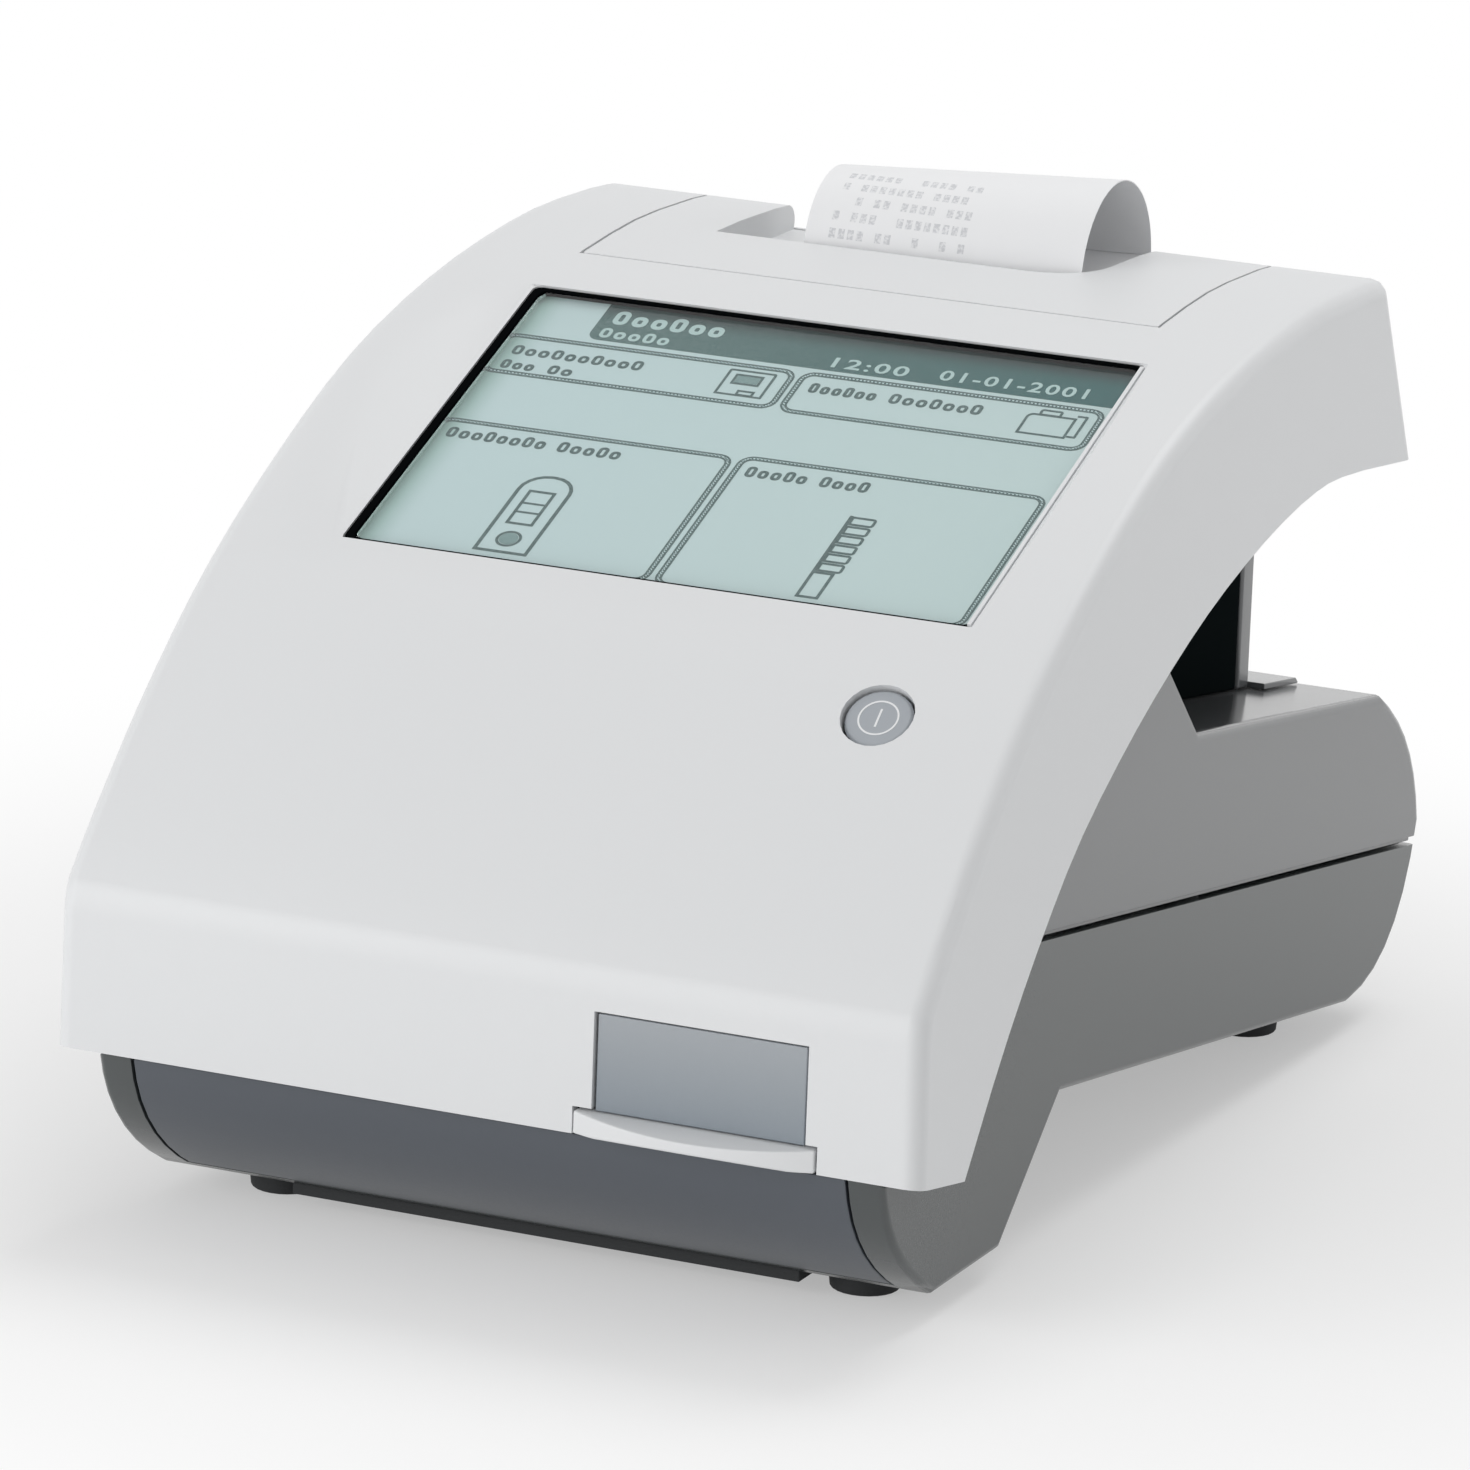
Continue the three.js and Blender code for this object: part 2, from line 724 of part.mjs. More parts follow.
function topCover() {
  const shell = cut(coverOuter, coverInner);
  const button = rodZ(0, 0, -buttonCollarDepth - overrun, overrun, buttonHoleRadius, fineFacets, buttonFrame);
  const drawerWindow = block(windowLeft, windowRight, -overrun, coverWall + overrun, windowLow, windowHigh);
  const notch = block(notchLeft, notchRight, -overrun, coverWall + overrun, coverEdgeHeight - overrun,
    windowLow + seatGap);
  const opening = lidHalfWidth + seamGap;
  const lidHole = block(-opening, opening, lidFrontDepth - seamGap, coverRearLowDepth + overrun, lidWallTop,
    coverHeight + overrun);
  const relief = rodX(-opening, opening, lidHingeDepth, lidHingeHeight, coverHeelRadius + slideGap, fineFacets);
  const ears = Object.values(sides).map((side) => {
    const [x0, x1] = inOrder(side * opening, side * (opening + lidEarWidth));
    return rodX(x0, x1, lidHingeDepth, lidHingeHeight, coverHeelRadius, fineFacets).intersect(coverOuter);
  });
  const bores = rodX(-lidHalfWidth - lidPinLength - seatGap, lidHalfWidth + lidPinLength + seatGap, lidHingeDepth,
    lidHingeHeight, lidPinRadius + seatGap);
  const solidCover = join(shell, screenRim(), buttonSeat(), ...ears);
  return cut(solidCover, underCutter(), screenCutter(), button, drawerWindow, notch, lidHole, relief, bores);
}

add('top_cover', topCover(), 'whiteShell');

// Display stack, in the screen's own tilted frame

const screenGroup = framedGroup(screenFrame);
const gasketLeft = -screenOpenLeft + seatGap;
const gasketRight = screenOpenRight - seatGap;
const gasketHigh = screenOpenLength - seatGap;
const glassLow = gasketTop + gasketDepth;
const lcdTop = glassLow + seatGap;
const frameTop = lcdTop + lcdDepth + seatGap;
const boardTop = frameTop + displayFrameDepth + displayStandoff;

function displayGasket() {
  const outer = roundedBlock(gasketLeft, gasketRight, seatGap, gasketHigh, -glassLow, -gasketTop,
    screenCornerRadius);
  const inner = roundedBlock(gasketLeft + gasketWide, gasketRight - gasketNarrow, seatGap + gasketNarrow,
    gasketHigh - gasketWide, -glassLow - overrun, overrun, screenCornerRadius);
  return cut(outer, inner);
}

function touchGlass() {
  return roundedBlock(gasketLeft + gasketWide + seatGap, gasketRight - gasketNarrow - seatGap,
    seatGap + gasketNarrow + seatGap, gasketHigh - gasketWide - seatGap, -glassTop - glassDepth, -glassTop,
    screenCornerRadius);
}

function displayScrewPlaces() {
  const places = [];
  for (const x of [gasketLeft - displayFrameMargin / 2, gasketRight + displayFrameMargin / 4]) {
    for (const y of [displayFrameBar, screenOpenLength - displayFrameBar]) places.push([x, y]);
  }
  return places;
}

function displayFramePlate() {
  const plate = roundedBlock(gasketLeft - displayFrameMargin, gasketRight + displayFrameMargin / 2, 0,
    screenOpenLength, -frameTop - displayFrameDepth, -frameTop, screenCornerRadius);
  const middle = block(gasketLeft + displayFrameBar, gasketRight - displayFrameBar, displayFrameBar,
    screenOpenLength - displayFrameBar, -frameTop - overrun, -frameTop + overrun);
  const standoffs = displayBoardPosts().map(([x, y]) => rodZ(x, y, -boardTop + seatGap, -frameTop,
    displayScrewHeadRadius));
  const holes = displayScrewPlaces().map(([x, y]) => rodZ(x, y, -frameTop - overrun, -frameTop + overrun,
    displayScrewRadius + slideGap));
  return cut(join(cut(plate, middle), ...standoffs), ...holes);
}

function displayBoardPosts() {
  const inset = displayFrameBar - displayScrewHeadRadius;
  const left = gasketLeft + inset;
  const right = gasketRight - inset;
  return [[left, inset], [right, inset], [left, screenOpenLength - inset], [right, screenOpenLength - inset]];
}

function displayBoard() {
  const board = block(gasketLeft + displayBoardInset - overrun, gasketRight - displayBoardInset + overrun,
    displayBoardInset / 2, screenOpenLength - displayBoardInset / 2, -boardTop - displayBoardDepth, -boardTop);
  const chip = block(gasketLeft / 2, 0, screenOpenLength / 3, screenOpenLength / 2,
    -boardTop - displayBoardDepth - chipHeight, -boardTop - displayBoardDepth);
  return join(board, chip);
}

add('display_gasket', displayGasket(), 'blackRubber', screenGroup);
add('touch_glass', touchGlass(), 'glass', screenGroup);
add('lcd_module', roundedBlock(gasketLeft, gasketRight, seatGap, gasketHigh, -lcdTop - lcdDepth, -lcdTop,
  screenCornerRadius), 'screen', screenGroup);
add('display_frame', displayFramePlate(), 'steel', screenGroup);
add('display_board', displayBoard(), 'board', screenGroup);

// Power button, in the frame of its place on the arch

const buttonGroup = framedGroup(buttonFrame);
const flangeTop = buttonCollarDepth + seatGap;
const stemEnd = flangeTop + buttonFlange + buttonStem;

function powerButton() {
  const cap = new THREE.LatheGeometry([
    [0, -stemEnd], [buttonStemRadius, -stemEnd], [buttonStemRadius, -flangeTop - buttonFlange],
    [buttonFlangeRadius, -flangeTop - buttonFlange], [buttonFlangeRadius, -flangeTop],
    [buttonRadius, -flangeTop], [buttonRadius, -buttonSunk * 2], [buttonRadius - buttonSunk, -buttonSunk],
    [0, -buttonSunk],
  ].map(([a, b]) => new THREE.Vector2(a, b)), fineFacets);
  cap.rotateX(Math.PI / 2);
  return solid(cap);
}

function siliconeDome() {
  return rodZ(0, 0, -buttonBoardFace + seatGap, -buttonBoardFace + domeHeight, domeTopRadius, roundFacets,
    null, domeRadius);
}

function buttonBoard() {
  const top = -buttonBoardFace;
  return block(-buttonBoardWidth / 2, buttonBoardWidth / 2, -buttonBoardLength / 2, buttonBoardLength / 2,
    top - buttonBoardDepth - seatGap, top - seatGap);
}

add('power_button', powerButton(), 'buttonGrey', buttonGroup);
add('button_dome', siliconeDome(), 'silicone', buttonGroup);
add('button_board', buttonBoard(), 'board', buttonGroup);

// Printer cover with its paper pocket, which has one wide rounded corner

function pocketShape(grow) {
  const front = pocketFrontDepth - grow;
  const rear = coverRearLowDepth + overrun;
  const radius = pocketCornerRadius + grow;
  const shape = new THREE.Shape();
  shape.moveTo(-pocketLeft - grow, rear);
  shape.lineTo(-pocketLeft - grow, front);
  shape.lineTo(pocketRight + grow - radius, front);
  const corner = new THREE.Vector2(pocketRight + grow - radius, front + radius);
  for (let i = 1; i <= curveSteps; i += 1) {
    const angle = Math.PI / 2 * (i / curveSteps - 1);
    shape.lineTo(corner.x + radius * Math.cos(angle), corner.y + radius * Math.sin(angle));
  }
  shape.lineTo(pocketRight + grow, rear);
  return shape;
}

function printerCover() {
  const skin = cut(coverOuter, insideCover(lidThickness, 0)).intersect(block(-lidHalfWidth, lidHalfWidth,
    lidFrontDepth, lidHingeDepth, lidWallTop, coverHeight + overrun));
  const heel = rodX(-lidHalfWidth, lidHalfWidth, lidHingeDepth, lidHingeHeight, coverHeelRadius, fineFacets);
  const pins = rodX(-lidHalfWidth - lidPinLength, lidHalfWidth + lidPinLength, lidHingeDepth, lidHingeHeight,
    lidPinRadius);
  const tub = solid(slabZ(pocketShape(pocketWall), pocketFloorHeight - pocketWall, coverHeight + overrun))
    .intersect(block(-lidHalfWidth, lidHalfWidth, lidFrontDepth, lidHingeDepth, lidWallTop - overrun,
      coverHeight + overrun)).intersect(coverOuter);
  const pocket = solid(slabZ(pocketShape(0), pocketFloorHeight, coverHeight + overrun));
  const slit = block(-paperLeft - slitMargin, paperRight + slitMargin, slitFrontDepth,
    slitFrontDepth + slitWidth, pocketFloorHeight - pocketWall - overrun, pocketFloorHeight + overrun);
  return cut(join(skin, heel, pins, tub), pocket, slit);
}

add('printer_cover', printerCover(), 'whiteShell');

// Paper: the curl above the pocket, the web below it and the roll

function sheet(leftPath, rightPath, leftX, rightX) {
  const count = leftPath.length;
  const rings = [[leftPath, leftX], [rightPath, rightX]].map(([path, x]) => {
    const back = path.map((point, i) => {
      const before = path[Math.max(i - 1, 0)];
      const after = path[Math.min(i + 1, count - 1)];
      const along = new THREE.Vector2(after[0] - before[0], after[1] - before[1]).normalize();
      return [point[0] + along.y * paperThickness, point[1] - along.x * paperThickness];
    });
    return [...path, ...back.reverse()].map(([y, z]) => [x, y, z]);
  });
  const ring = rings[0].length;
  const index = [];
  for (let i = 0; i < ring; i += 1) {
    const next = (i + 1) % ring;
    index.push(i, i + ring, next, next, i + ring, next + ring);
  }
  for (let i = 0; i < count - 1; i += 1) {
    const far = ring - 1 - i;
    index.push(i, i + 1, far, i + 1, far - 1, far);
    index.push(i + ring, far + ring, i + 1 + ring, i + 1 + ring, far + ring, far - 1 + ring);
  }
  const geometry = new THREE.BufferGeometry();
  geometry.setAttribute('position', new THREE.BufferAttribute(new Float32Array(rings.flat(2)), 3));
  geometry.setIndex(index);
  return solid(geometry);
}

function curlPath(foot, radius) {
  const path = [[foot, paperFootLow]];
  const sweep = Math.PI + turn(paperCurlEnd);
  for (let i = 0; i <= roundFacets; i += 1) {
    const angle = Math.PI - sweep * i / roundFacets;
    path.push([foot + radius + radius * Math.cos(angle), paperCurlHeight + radius * Math.sin(angle)]);
  }
  return path;
}

function paperWeb() {
  const start = rollDepth - rollRadius - seatGap;
  const knots = webKnotShares.map(([a, b]) => [
    start + a * (webDepth - start), rollHeight + b * (webTop - rollHeight)]);
  const path = spline(knots, roundFacets);
  return sheet(path, path, -paperLeft, paperRight);
}

function paperRoll() {
  const outer = rodX(-paperLeft, paperRight, rollDepth, rollHeight, rollRadius, fineFacets);
  return cut(outer, rodX(-paperLeft - overrun, paperRight + overrun, rollDepth, rollHeight, coreRadius + seatGap));
}

function paperCore() {
  const outer = rodX(-paperLeft, paperRight, rollDepth, rollHeight, coreRadius);
  return cut(outer, rodX(-paperLeft - overrun, paperRight + overrun, rollDepth, rollHeight, coreRadius - coreWall));
}

add('paper_strip', sheet(curlPath(paperFootLeft, paperCurlLeft), curlPath(paperFootRight, paperCurlRight),
  -paperLeft, paperRight), 'paper');
add('paper_web', paperWeb(), 'paper');
add('paper_roll', paperRoll(), 'paper');
add('paper_core', paperCore(), 'card');

// Gears

function gearShape(teeth, module) {
  const shape = new THREE.Shape();
  const pitch = teeth * module / 2;
  const tip = pitch + addendumShare * module;
  const root = pitch - dedendumShare * module;
  const step = 2 * Math.PI / teeth;
  const corners = [[root, -0.5 + tipShare], [pitch, -toothShare / 2], [tip, -tipShare / 2], [tip, tipShare / 2],
    [pitch, toothShare / 2], [root, 0.5 - tipShare]];
  for (let i = 0; i < teeth; i += 1) {
    corners.forEach(([radius, share], j) => {
      const angle = step * (i + share);
      const point = [radius * Math.cos(angle), radius * Math.sin(angle)];
      if (i + j === 0) shape.moveTo(...point);
      else shape.lineTo(...point);
    });
  }
  return shape;
}

function gearX(teeth, module, phase, x0, x1, y, z) {
  const geometry = slabZ(gearShape(teeth, module), 0, x1 - x0);
  geometry.rotateZ(phase);
  geometry.applyMatrix4(new THREE.Matrix4().set(0, 0, 1, x0, 1, 0, 0, y, 0, 1, 0, z, 0, 0, 0, 1));
  return solid(geometry);
}

// Printer mechanism

const platenDepth = webDepth - seatGap - platenRadius;
const plateHoleRadius = platenShaftRadius + slideGap;
const feedDistance = feedModule * (feedPlatenTeeth + feedMotorTeeth) / 2;
const feedAngle = Math.asin(feedMotorDrop / feedDistance);
const feedMotorDepth = platenDepth - feedDistance * Math.cos(feedAngle);
const feedMotorHeight = platenHeight - feedMotorDrop;
const feedGearX = printerSideRight + printerPlate + 2 * seatGap;
const panTop = panLow + panThickness;
const frameLow = panTop + seatGap;

function printerFrame() {
  const foot = block(-printerSideLeft - printerPlate, printerSideRight + printerPlate, printerFrameFront,
    printerFrameRear, frameLow, frameLow + printerPlate);
  const side = (x) => block(x, x + printerPlate, printerFrameFront + overrun, printerFrameRear, frameLow,
    printerSideTop);
  const wing = block(printerSideRight, feedGearX + feedGearWidth + feedMotorLength, printerFrameFront,
    feedMotorDepth + feedMotorRadius, frameLow, frameLow + printerPlate);
  const saddleX = feedGearX + feedGearWidth + 2 * seatGap;
  const saddle = block(saddleX, saddleX + feedMotorLength, feedMotorDepth - feedMotorRadius / 2,
    feedMotorDepth + feedMotorRadius / 2, frameLow, feedMotorHeight);
  const motorRoom = rodX(saddleX - overrun, saddleX + feedMotorLength + overrun, feedMotorDepth, feedMotorHeight,
    feedMotorRadius + seatGap);
  const bosses = [-printerSideLeft - printerPlate, printerSideRight].map((x) => rodX(x, x + printerPlate,
    platenDepth, platenHeight, printerBossRadius));
  const holes = rodX(-printerSideLeft - overrun, printerSideRight + overrun, platenDepth, platenHeight,
    plateHoleRadius);
  const leverHole = rodX(-printerSideLeft - overrun, -printerSideLeft + overrun, leverPivotDepth,
    leverPivotHeight, plateHoleRadius);
  const body = join(foot, side(-printerSideLeft - printerPlate), side(printerSideRight), wing, ...bosses);
  return cut(join(body, cut(saddle, motorRoom)), holes, leverHole);
}

function platenRoller() {
  const rubber = rodX(-paperLeft - platenMarginLeft, paperRight + platenMarginRight, platenDepth, platenHeight,
    platenRadius);
  const shaft = rodX(-printerSideLeft - printerPlate - platenShaftReach, feedGearX + feedGearWidth + seatGap,
    platenDepth, platenHeight, platenShaftRadius);
  return join(rubber, shaft);
}

function feedGear() {
  const gear = gearX(feedPlatenTeeth, feedModule, 0, feedGearX, feedGearX + feedGearWidth, platenDepth, platenHeight);
  return cut(gear, rodX(feedGearX - overrun, feedGearX + feedGearWidth + overrun, platenDepth, platenHeight,
    platenShaftRadius + seatGap));
}

function feedMotorGear() {
  const lean = Math.PI + feedAngle;
  const pitchTurn = lean * feedPlatenTeeth / (2 * Math.PI);
  const toothAtMesh = pitchTurn - Math.floor(pitchTurn);
  const phase = lean - Math.PI + 2 * Math.PI / feedMotorTeeth * (0.5 + toothAtMesh);
  const gear = gearX(feedMotorTeeth, feedModule, phase, feedGearX, feedGearX + feedGearWidth, feedMotorDepth,
    feedMotorHeight);
  return join(gear, rodX(feedGearX + feedGearWidth, feedGearX + feedGearWidth + 2 * seatGap, feedMotorDepth,
    feedMotorHeight, platenShaftRadius / 2));
}

function feedMotor() {
  const start = feedGearX + feedGearWidth + 3 * seatGap;
  return rodX(start, start + feedMotorLength, feedMotorDepth, feedMotorHeight, feedMotorRadius, fineFacets);
}

function printHead() {
  const front = webDepth + paperThickness + seatGap;
  const left = -printerSideLeft + seatGap;
  const right = printerSideRight - seatGap;
  const plate = block(left, right, front, front + headThickness, headLow, headHigh);
  const rib = block(left + headRib, right - headRib, front + headThickness, front + headThickness + headRib / 2,
    headLow, headLow + headRib);
  const hotLine = rodX(-paperLeft, paperRight, front + headThickness / 2, platenHeight, headThickness / 2 + seatGap / 2,
    smallFacets);
  return join(plate, rib, hotLine);
}

function headLever() {
  const x1 = -printerSideLeft - printerPlate - slideGap - platenShaftRadius;
  const x0 = x1 - leverThickness;
  const hub = rodX(x0, x1, leverPivotDepth, leverPivotHeight, leverWidth * 0.75);
  const arm = block(x0, x1, leverPivotDepth - leverReach, leverPivotDepth, leverPivotHeight - leverWidth / 2,
    leverPivotHeight + leverWidth / 2);
  const tab = block(x0 - leverTab, x1, leverPivotDepth - leverReach - leverTab, leverPivotDepth - leverReach,
    leverPivotHeight - leverWidth / 2, leverPivotHeight + leverWidth / 4);
  const pivot = rodX(x1, -printerSideLeft, leverPivotDepth, leverPivotHeight, platenShaftRadius);
  return join(hub, arm, tab, pivot);
}

function printerBay() {
  const x0 = -paperLeft - bayWall - 3 * seatGap;
  const x1 = paperRight + bayWall + 3 * seatGap;
  const inner = rollRadius + slideGap;
  const drum = rodX(x0, x1, rollDepth, rollHeight, inner + bayWall, fineFacets);
  const hollow = rodX(x0 + bayWall, x1 - bayWall, rollDepth, rollHeight, inner, fineFacets);
  const upper = block(x0 - overrun, x1 + overrun, rollDepth - 2 * rollRadius, rollDepth + 2 * rollRadius,
    rollHeight, rollHeight + 2 * rollRadius);
  const mouth = block(-paperLeft - seatGap, paperRight + seatGap, rollDepth - 2 * rollRadius, rollDepth,
    rollHeight - overrun - seatGap, rollHeight + overrun);
  return cut(drum, hollow, upper, mouth);
}

add('printer_frame', printerFrame(), 'steel');
add('platen_roller', platenRoller(), 'blackRubber');
add('platen_gear', feedGear(), 'gear');
add('printer_motor', feedMotor(), 'motorSteel');
add('printer_motor_gear', feedMotorGear(), 'gear');
add('print_head', printHead(), 'steel');
add('head_lever', headLever(), 'leverBlue');
add('printer_bay', printerBay(), 'blackPlastic');

// Upper chassis pan, which carries the printer and the top cover

function upperChassis() {
  const room = insideCover(coverWall, slideGap);
  const plate = block(-coverHalf, coverHalf, panFront, coverRearLowDepth, panLow, panTop).intersect(room);
  const rimBody = block(-coverHalf, coverHalf, panFront, coverRearLowDepth, panTop, panTop + panRimHeight)
    .intersect(room);
  const lean = (coverRearLowDepth - lidHingeDepth) / (lidHingeHeight - coverRearLowHeight);
  const rearAt = (z) => coverRearLowDepth - coverRearLowLip - lean * (z - coverRearLowHeight);
  const half = coverHalf * (1 - Math.tan(turn(coverDraftAngle))) - coverRearLowLip;
  const low = panTop - seatGap;
  const high = panTop + panRimHeight + overrun;
  const front = panFront + coverWall;
  const rim = cut(rimBody, solid(slabX([[front, low], [rearAt(low), low], [rearAt(high), high], [front, high]],
    -half, half)));
  const bayRoom = rodX(-paperLeft - bayWall - 5 * seatGap, paperRight + bayWall + 5 * seatGap, rollDepth, rollHeight,
    rollRadius + slideGap + bayWall + seatGap, fineFacets);
  return cut(join(plate, rim), bayRoom);
}

// Black column from the deck to the pan, and its grey rear cover

function standing(x0, x1, y0, y1, lift) {
  const low = (y) => deckHeight(y) + seatGap - (lift || 0);
  const high = panLow - seatGap + (lift || 0);
  return solid(slabX([[y0, low(y0)], [y1, low(y1)], [y1, high], [y0, high]], x0, x1));
}

function supportColumn() {
  const outer = standing(-columnHalfWidth, columnHalfWidth, columnFront, columnRear);
  const inner = standing(-columnHalfWidth + columnWall, columnHalfWidth - columnWall, columnFront + columnWall,
    columnRear - columnWall, overrun);
  const bayRoom = rodX(-paperLeft - bayWall - 5 * seatGap, paperRight + bayWall + 5 * seatGap, rollDepth, rollHeight,
    rollRadius + slideGap + bayWall + seatGap, fineFacets);
  return cut(outer, inner, bayRoom);
}

function columnRearCover() {
  const outer = standing(-columnCoverHalfWidth, columnCoverHalfWidth, columnCoverFront, columnCoverRear);
  const half = columnCoverHalfWidth - columnCoverWall;
  const inner = standing(-half, half, columnCoverFront - overrun, columnCoverRear - columnCoverWall, overrun);
  return cut(outer, inner);
}

function deckPlate() {
  const y0 = columnCoverRear + seatGap;
  const y1 = deckRearDepth - deckPlateSetback;
  const low = (y) => deckHeight(y) + seatGap;
  const step = y1 - deckPlateThickness;
  const outline = [[y0, low(y0)], [y1, low(y1)], [y1, low(y1) + deckPlateThickness / 3],
    [step, low(step) + deckPlateThickness], [y0, low(y0) + deckPlateThickness]];
  return solid(slabX(outline, -deckPlateHalfWidth, deckPlateHalfWidth));
}

add('upper_chassis', upperChassis(), 'blackPlastic');
add('support_column', supportColumn(), 'blackPlastic');
add('column_rear_cover', columnRearCover(), 'greyShell');
add('deck_plate', deckPlate(), 'greyShell');

// Base shells

function between(a, b, shares) {
  return [a[0] + (b[0] - a[0]) * shares[0], a[1] + (b[1] - a[1]) * shares[1]];
}

function baseOutline() {
  const front = coverWall + baseFrontGap;
  const bellyTop = [bellyTopDepth, bellyTopHeight];
  const bellyEnd = [bellyEndDepth, soleHeight];
  const heel = [heelDepth, heelHeight];
  const rear = [baseDepth, baseRearHeight];
  const deckRear = [deckRearDepth, deckRearHeight];
  const belly = bend(bellyTop, [between(bellyTop, bellyEnd, bellyBulgeShares)[0],
    bellyEnd[1] + (bellyTop[1] - bellyEnd[1]) * bellyBulgeShares[1]], bellyEnd, curveSteps);
  const heelBend = bend(heel, between(heel, rear, heelBulgeShares), rear, curveSteps);
  const rearBend = bend(rear, between(deckRear, rear, [rearBulgeShares[0], 1 - rearBulgeShares[1]]), deckRear,
    curveSteps).slice(1);
  return [...belly, [soleEndDepth, soleHeight], [archFootDepth, archFootHeight], ...heelBend, ...rearBend,
    [deckFrontDepth, deckFrontHeight], [gussetDepth, gussetHeight], [hoodFrontDepth, hoodFrontHeight],
    [hoodLowDepth, hoodLowHeight], [front, hoodLowHeight - overrun], [front, bellyTopHeight + seatGap]];
}

const baseSide = baseOutline();
const baseOuter = solid(slabX(baseSide, -baseHalf, baseHalf, baseFillet));
const baseInner = solid(slabX(inset(baseSide, baseWall), -baseHalf + baseWall, baseHalf - baseWall));
const baseShell = cut(baseOuter, baseInner);
const seamSlope = Math.tan(turn(seamRise));
const seamAt = (y) => seamRearHeight + seamSlope * (baseDepth - y);

// Everything below the seam, or everything above it
function seamHalf(above, gap, half) {
  const shift = above ? gap : -gap;
  const far = above ? coverHeight : -overrun;
  const y0 = -overrun;
  const y1 = baseDepth + overrun;
  const outline = [[y0, seamAt(y0) + shift], [y1, seamAt(y1) + shift], [y1, far], [y0, far]];
  return solid(slabX(above ? outline : outline.reverse(), -half, half));
}

const drawerCut = block(drawerCutLeft, drawerCutRight, -overrun, coverWall + baseWall + overrun, bellyTopHeight,
  drawerCutTop);

function fasciaZone(gap) {
  return block(-fasciaHalfWidth - gap, fasciaHalfWidth + gap, -overrun, fasciaEndDepth + gap,
    fasciaLowHeight - gap, bellyTopHeight + gap);
}

const screwPlaces = [[-screwX, frontScrewDepth, frontPostHeight], [screwX, frontScrewDepth, frontPostHeight],
  [-screwX, rearScrewDepth, rearPostHeight], [screwX, rearScrewDepth, rearPostHeight]];

function soleHeightAt(y) {
  return y < soleEndDepth ? soleHeight : soleAt(y);
}

function lowerShell() {
  const shell = baseShell.intersect(seamHalf(false, 0, baseHalf + overrun));
  const boss = screwPlaces.map(([x, y, z]) => rodZ(x, y, soleHeightAt(y) - overrun, z - seatGap, screwBossRadius)
    .intersect(baseOuter));
  const posts = [];
  for (const x of [-boardHalfWidth + boardPostInset, boardHalfWidth - boardPostInset]) {
    for (const y of [boardFront + boardPostInset, boardRear - boardPostInset]) {
      posts.push(rodZ(x, y, soleAt(y) - overrun, boardLow - seatGap, boardPostRadius).intersect(baseOuter));
    }
  }
  const holes = screwPlaces.map(([x, y, z]) => rodZ(x, y, soleHeightAt(y) - overrun, z + overrun,
    screwHoleRadius));
  const sinks = screwPlaces.map(([x, y]) => rodZ(x, y, -overrun, soleHeightAt(y) + screwSunk + screwHead,
    screwHeadRadius + slideGap));
  const hatch = block(-batteryCoverHalfWidth - slideGap, batteryCoverHalfWidth + slideGap,
    -batteryCoverHalfLength - slideGap, batteryCoverHalfLength + slideGap, -overrun, baseWall + overrun, trayFrame);
  return cut(join(shell, ...boss, ...posts), fasciaZone(seamGap), drawerCut, hatch, ...holes, ...sinks);
}

function frontFascia() {
  return cut(baseShell.intersect(fasciaZone(0)), drawerCut);
}

function portTub(grow) {
  return block(-portHalfWidth - grow, portHalfWidth + grow, portFaceDepth, baseDepth + overrun, portLow - grow,
    portHigh + grow);
}

function upperShell() {
  const shell = baseShell.intersect(seamHalf(true, seamGap, baseHalf + overrun));
  const reveal = seamHalf(false, -seamGap - seamReveal, baseHalf + overrun);
  const core = solid(slabX(inset(baseSide, seamReveal), -baseHalf + seamReveal, baseHalf - seamReveal));
  const tub = portTub(portWall).intersect(baseOuter).intersect(seamHalf(true, seamGap, baseHalf));
  const posts = screwPlaces.map(([x, y, z]) => rodZ(x, y, z, coverHeight, screwPostRadius).intersect(baseOuter));
  const bores = screwPlaces.map(([x, y, z]) => rodZ(x, y, z - overrun, z + screwBite + overrun / 2, screwHoleRadius));
  const cableHole = block(-columnHalfWidth / 2, columnHalfWidth / 2, columnFront + 2 * columnWall,
    columnRear - 4 * columnWall, deckRearHeight - overrun, gussetHeight + overrun);
  return cut(join(shell, tub, ...posts), cut(reveal, core), portTub(0), drawerCut, cableHole, ...bores);
}

add('base_lower_shell', lowerShell(), 'lowerShell');
add('base_upper_shell', upperShell(), 'greyShell');
add('front_fascia', frontFascia(), 'darkShell');

// Feet and screws

function rubberFoot(x, y) {
  const top = soleHeightAt(y + footTopRadius) - seatGap;
  return rodZ(x, y, -standRise, top, footTopRadius, fineFacets, null, footRadius);
}

function frontSkid() {
  const half = footX - footTopRadius - seamGap;
  return block(-half, half, skidFront, skidFront + skidDepth, skidLow, soleHeight - seatGap);
}

function baseScrew([x, y, z]) {
  const low = soleHeightAt(y) + screwSunk - seatGap;
  return join(rodZ(x, y, low, low + screwHead, screwHeadRadius),
    rodZ(x, y, low + screwHead / 2, z + screwBite, screwRadius));
}

for (const [side, sign] of Object.entries(sides)) {
  add(`rubber_foot_front_${side}`, rubberFoot(sign * footX, frontFootDepth), 'blackRubber');
  add(`rubber_foot_rear_${side}`, rubberFoot(sign * footX, rearFootDepth), 'blackRubber');
}
add('front_skid', frontSkid(), 'blackRubber');
screwPlaces.forEach((place, i) => {
  const end = i < 2 ? 'front' : 'rear';
  const side = place[0] < 0 ? 'left' : 'right';
  add(`base_screw_${end}_${side}`, baseScrew(place), 'steel');
});

// Chassis plate, with the motor under it and the rails on it

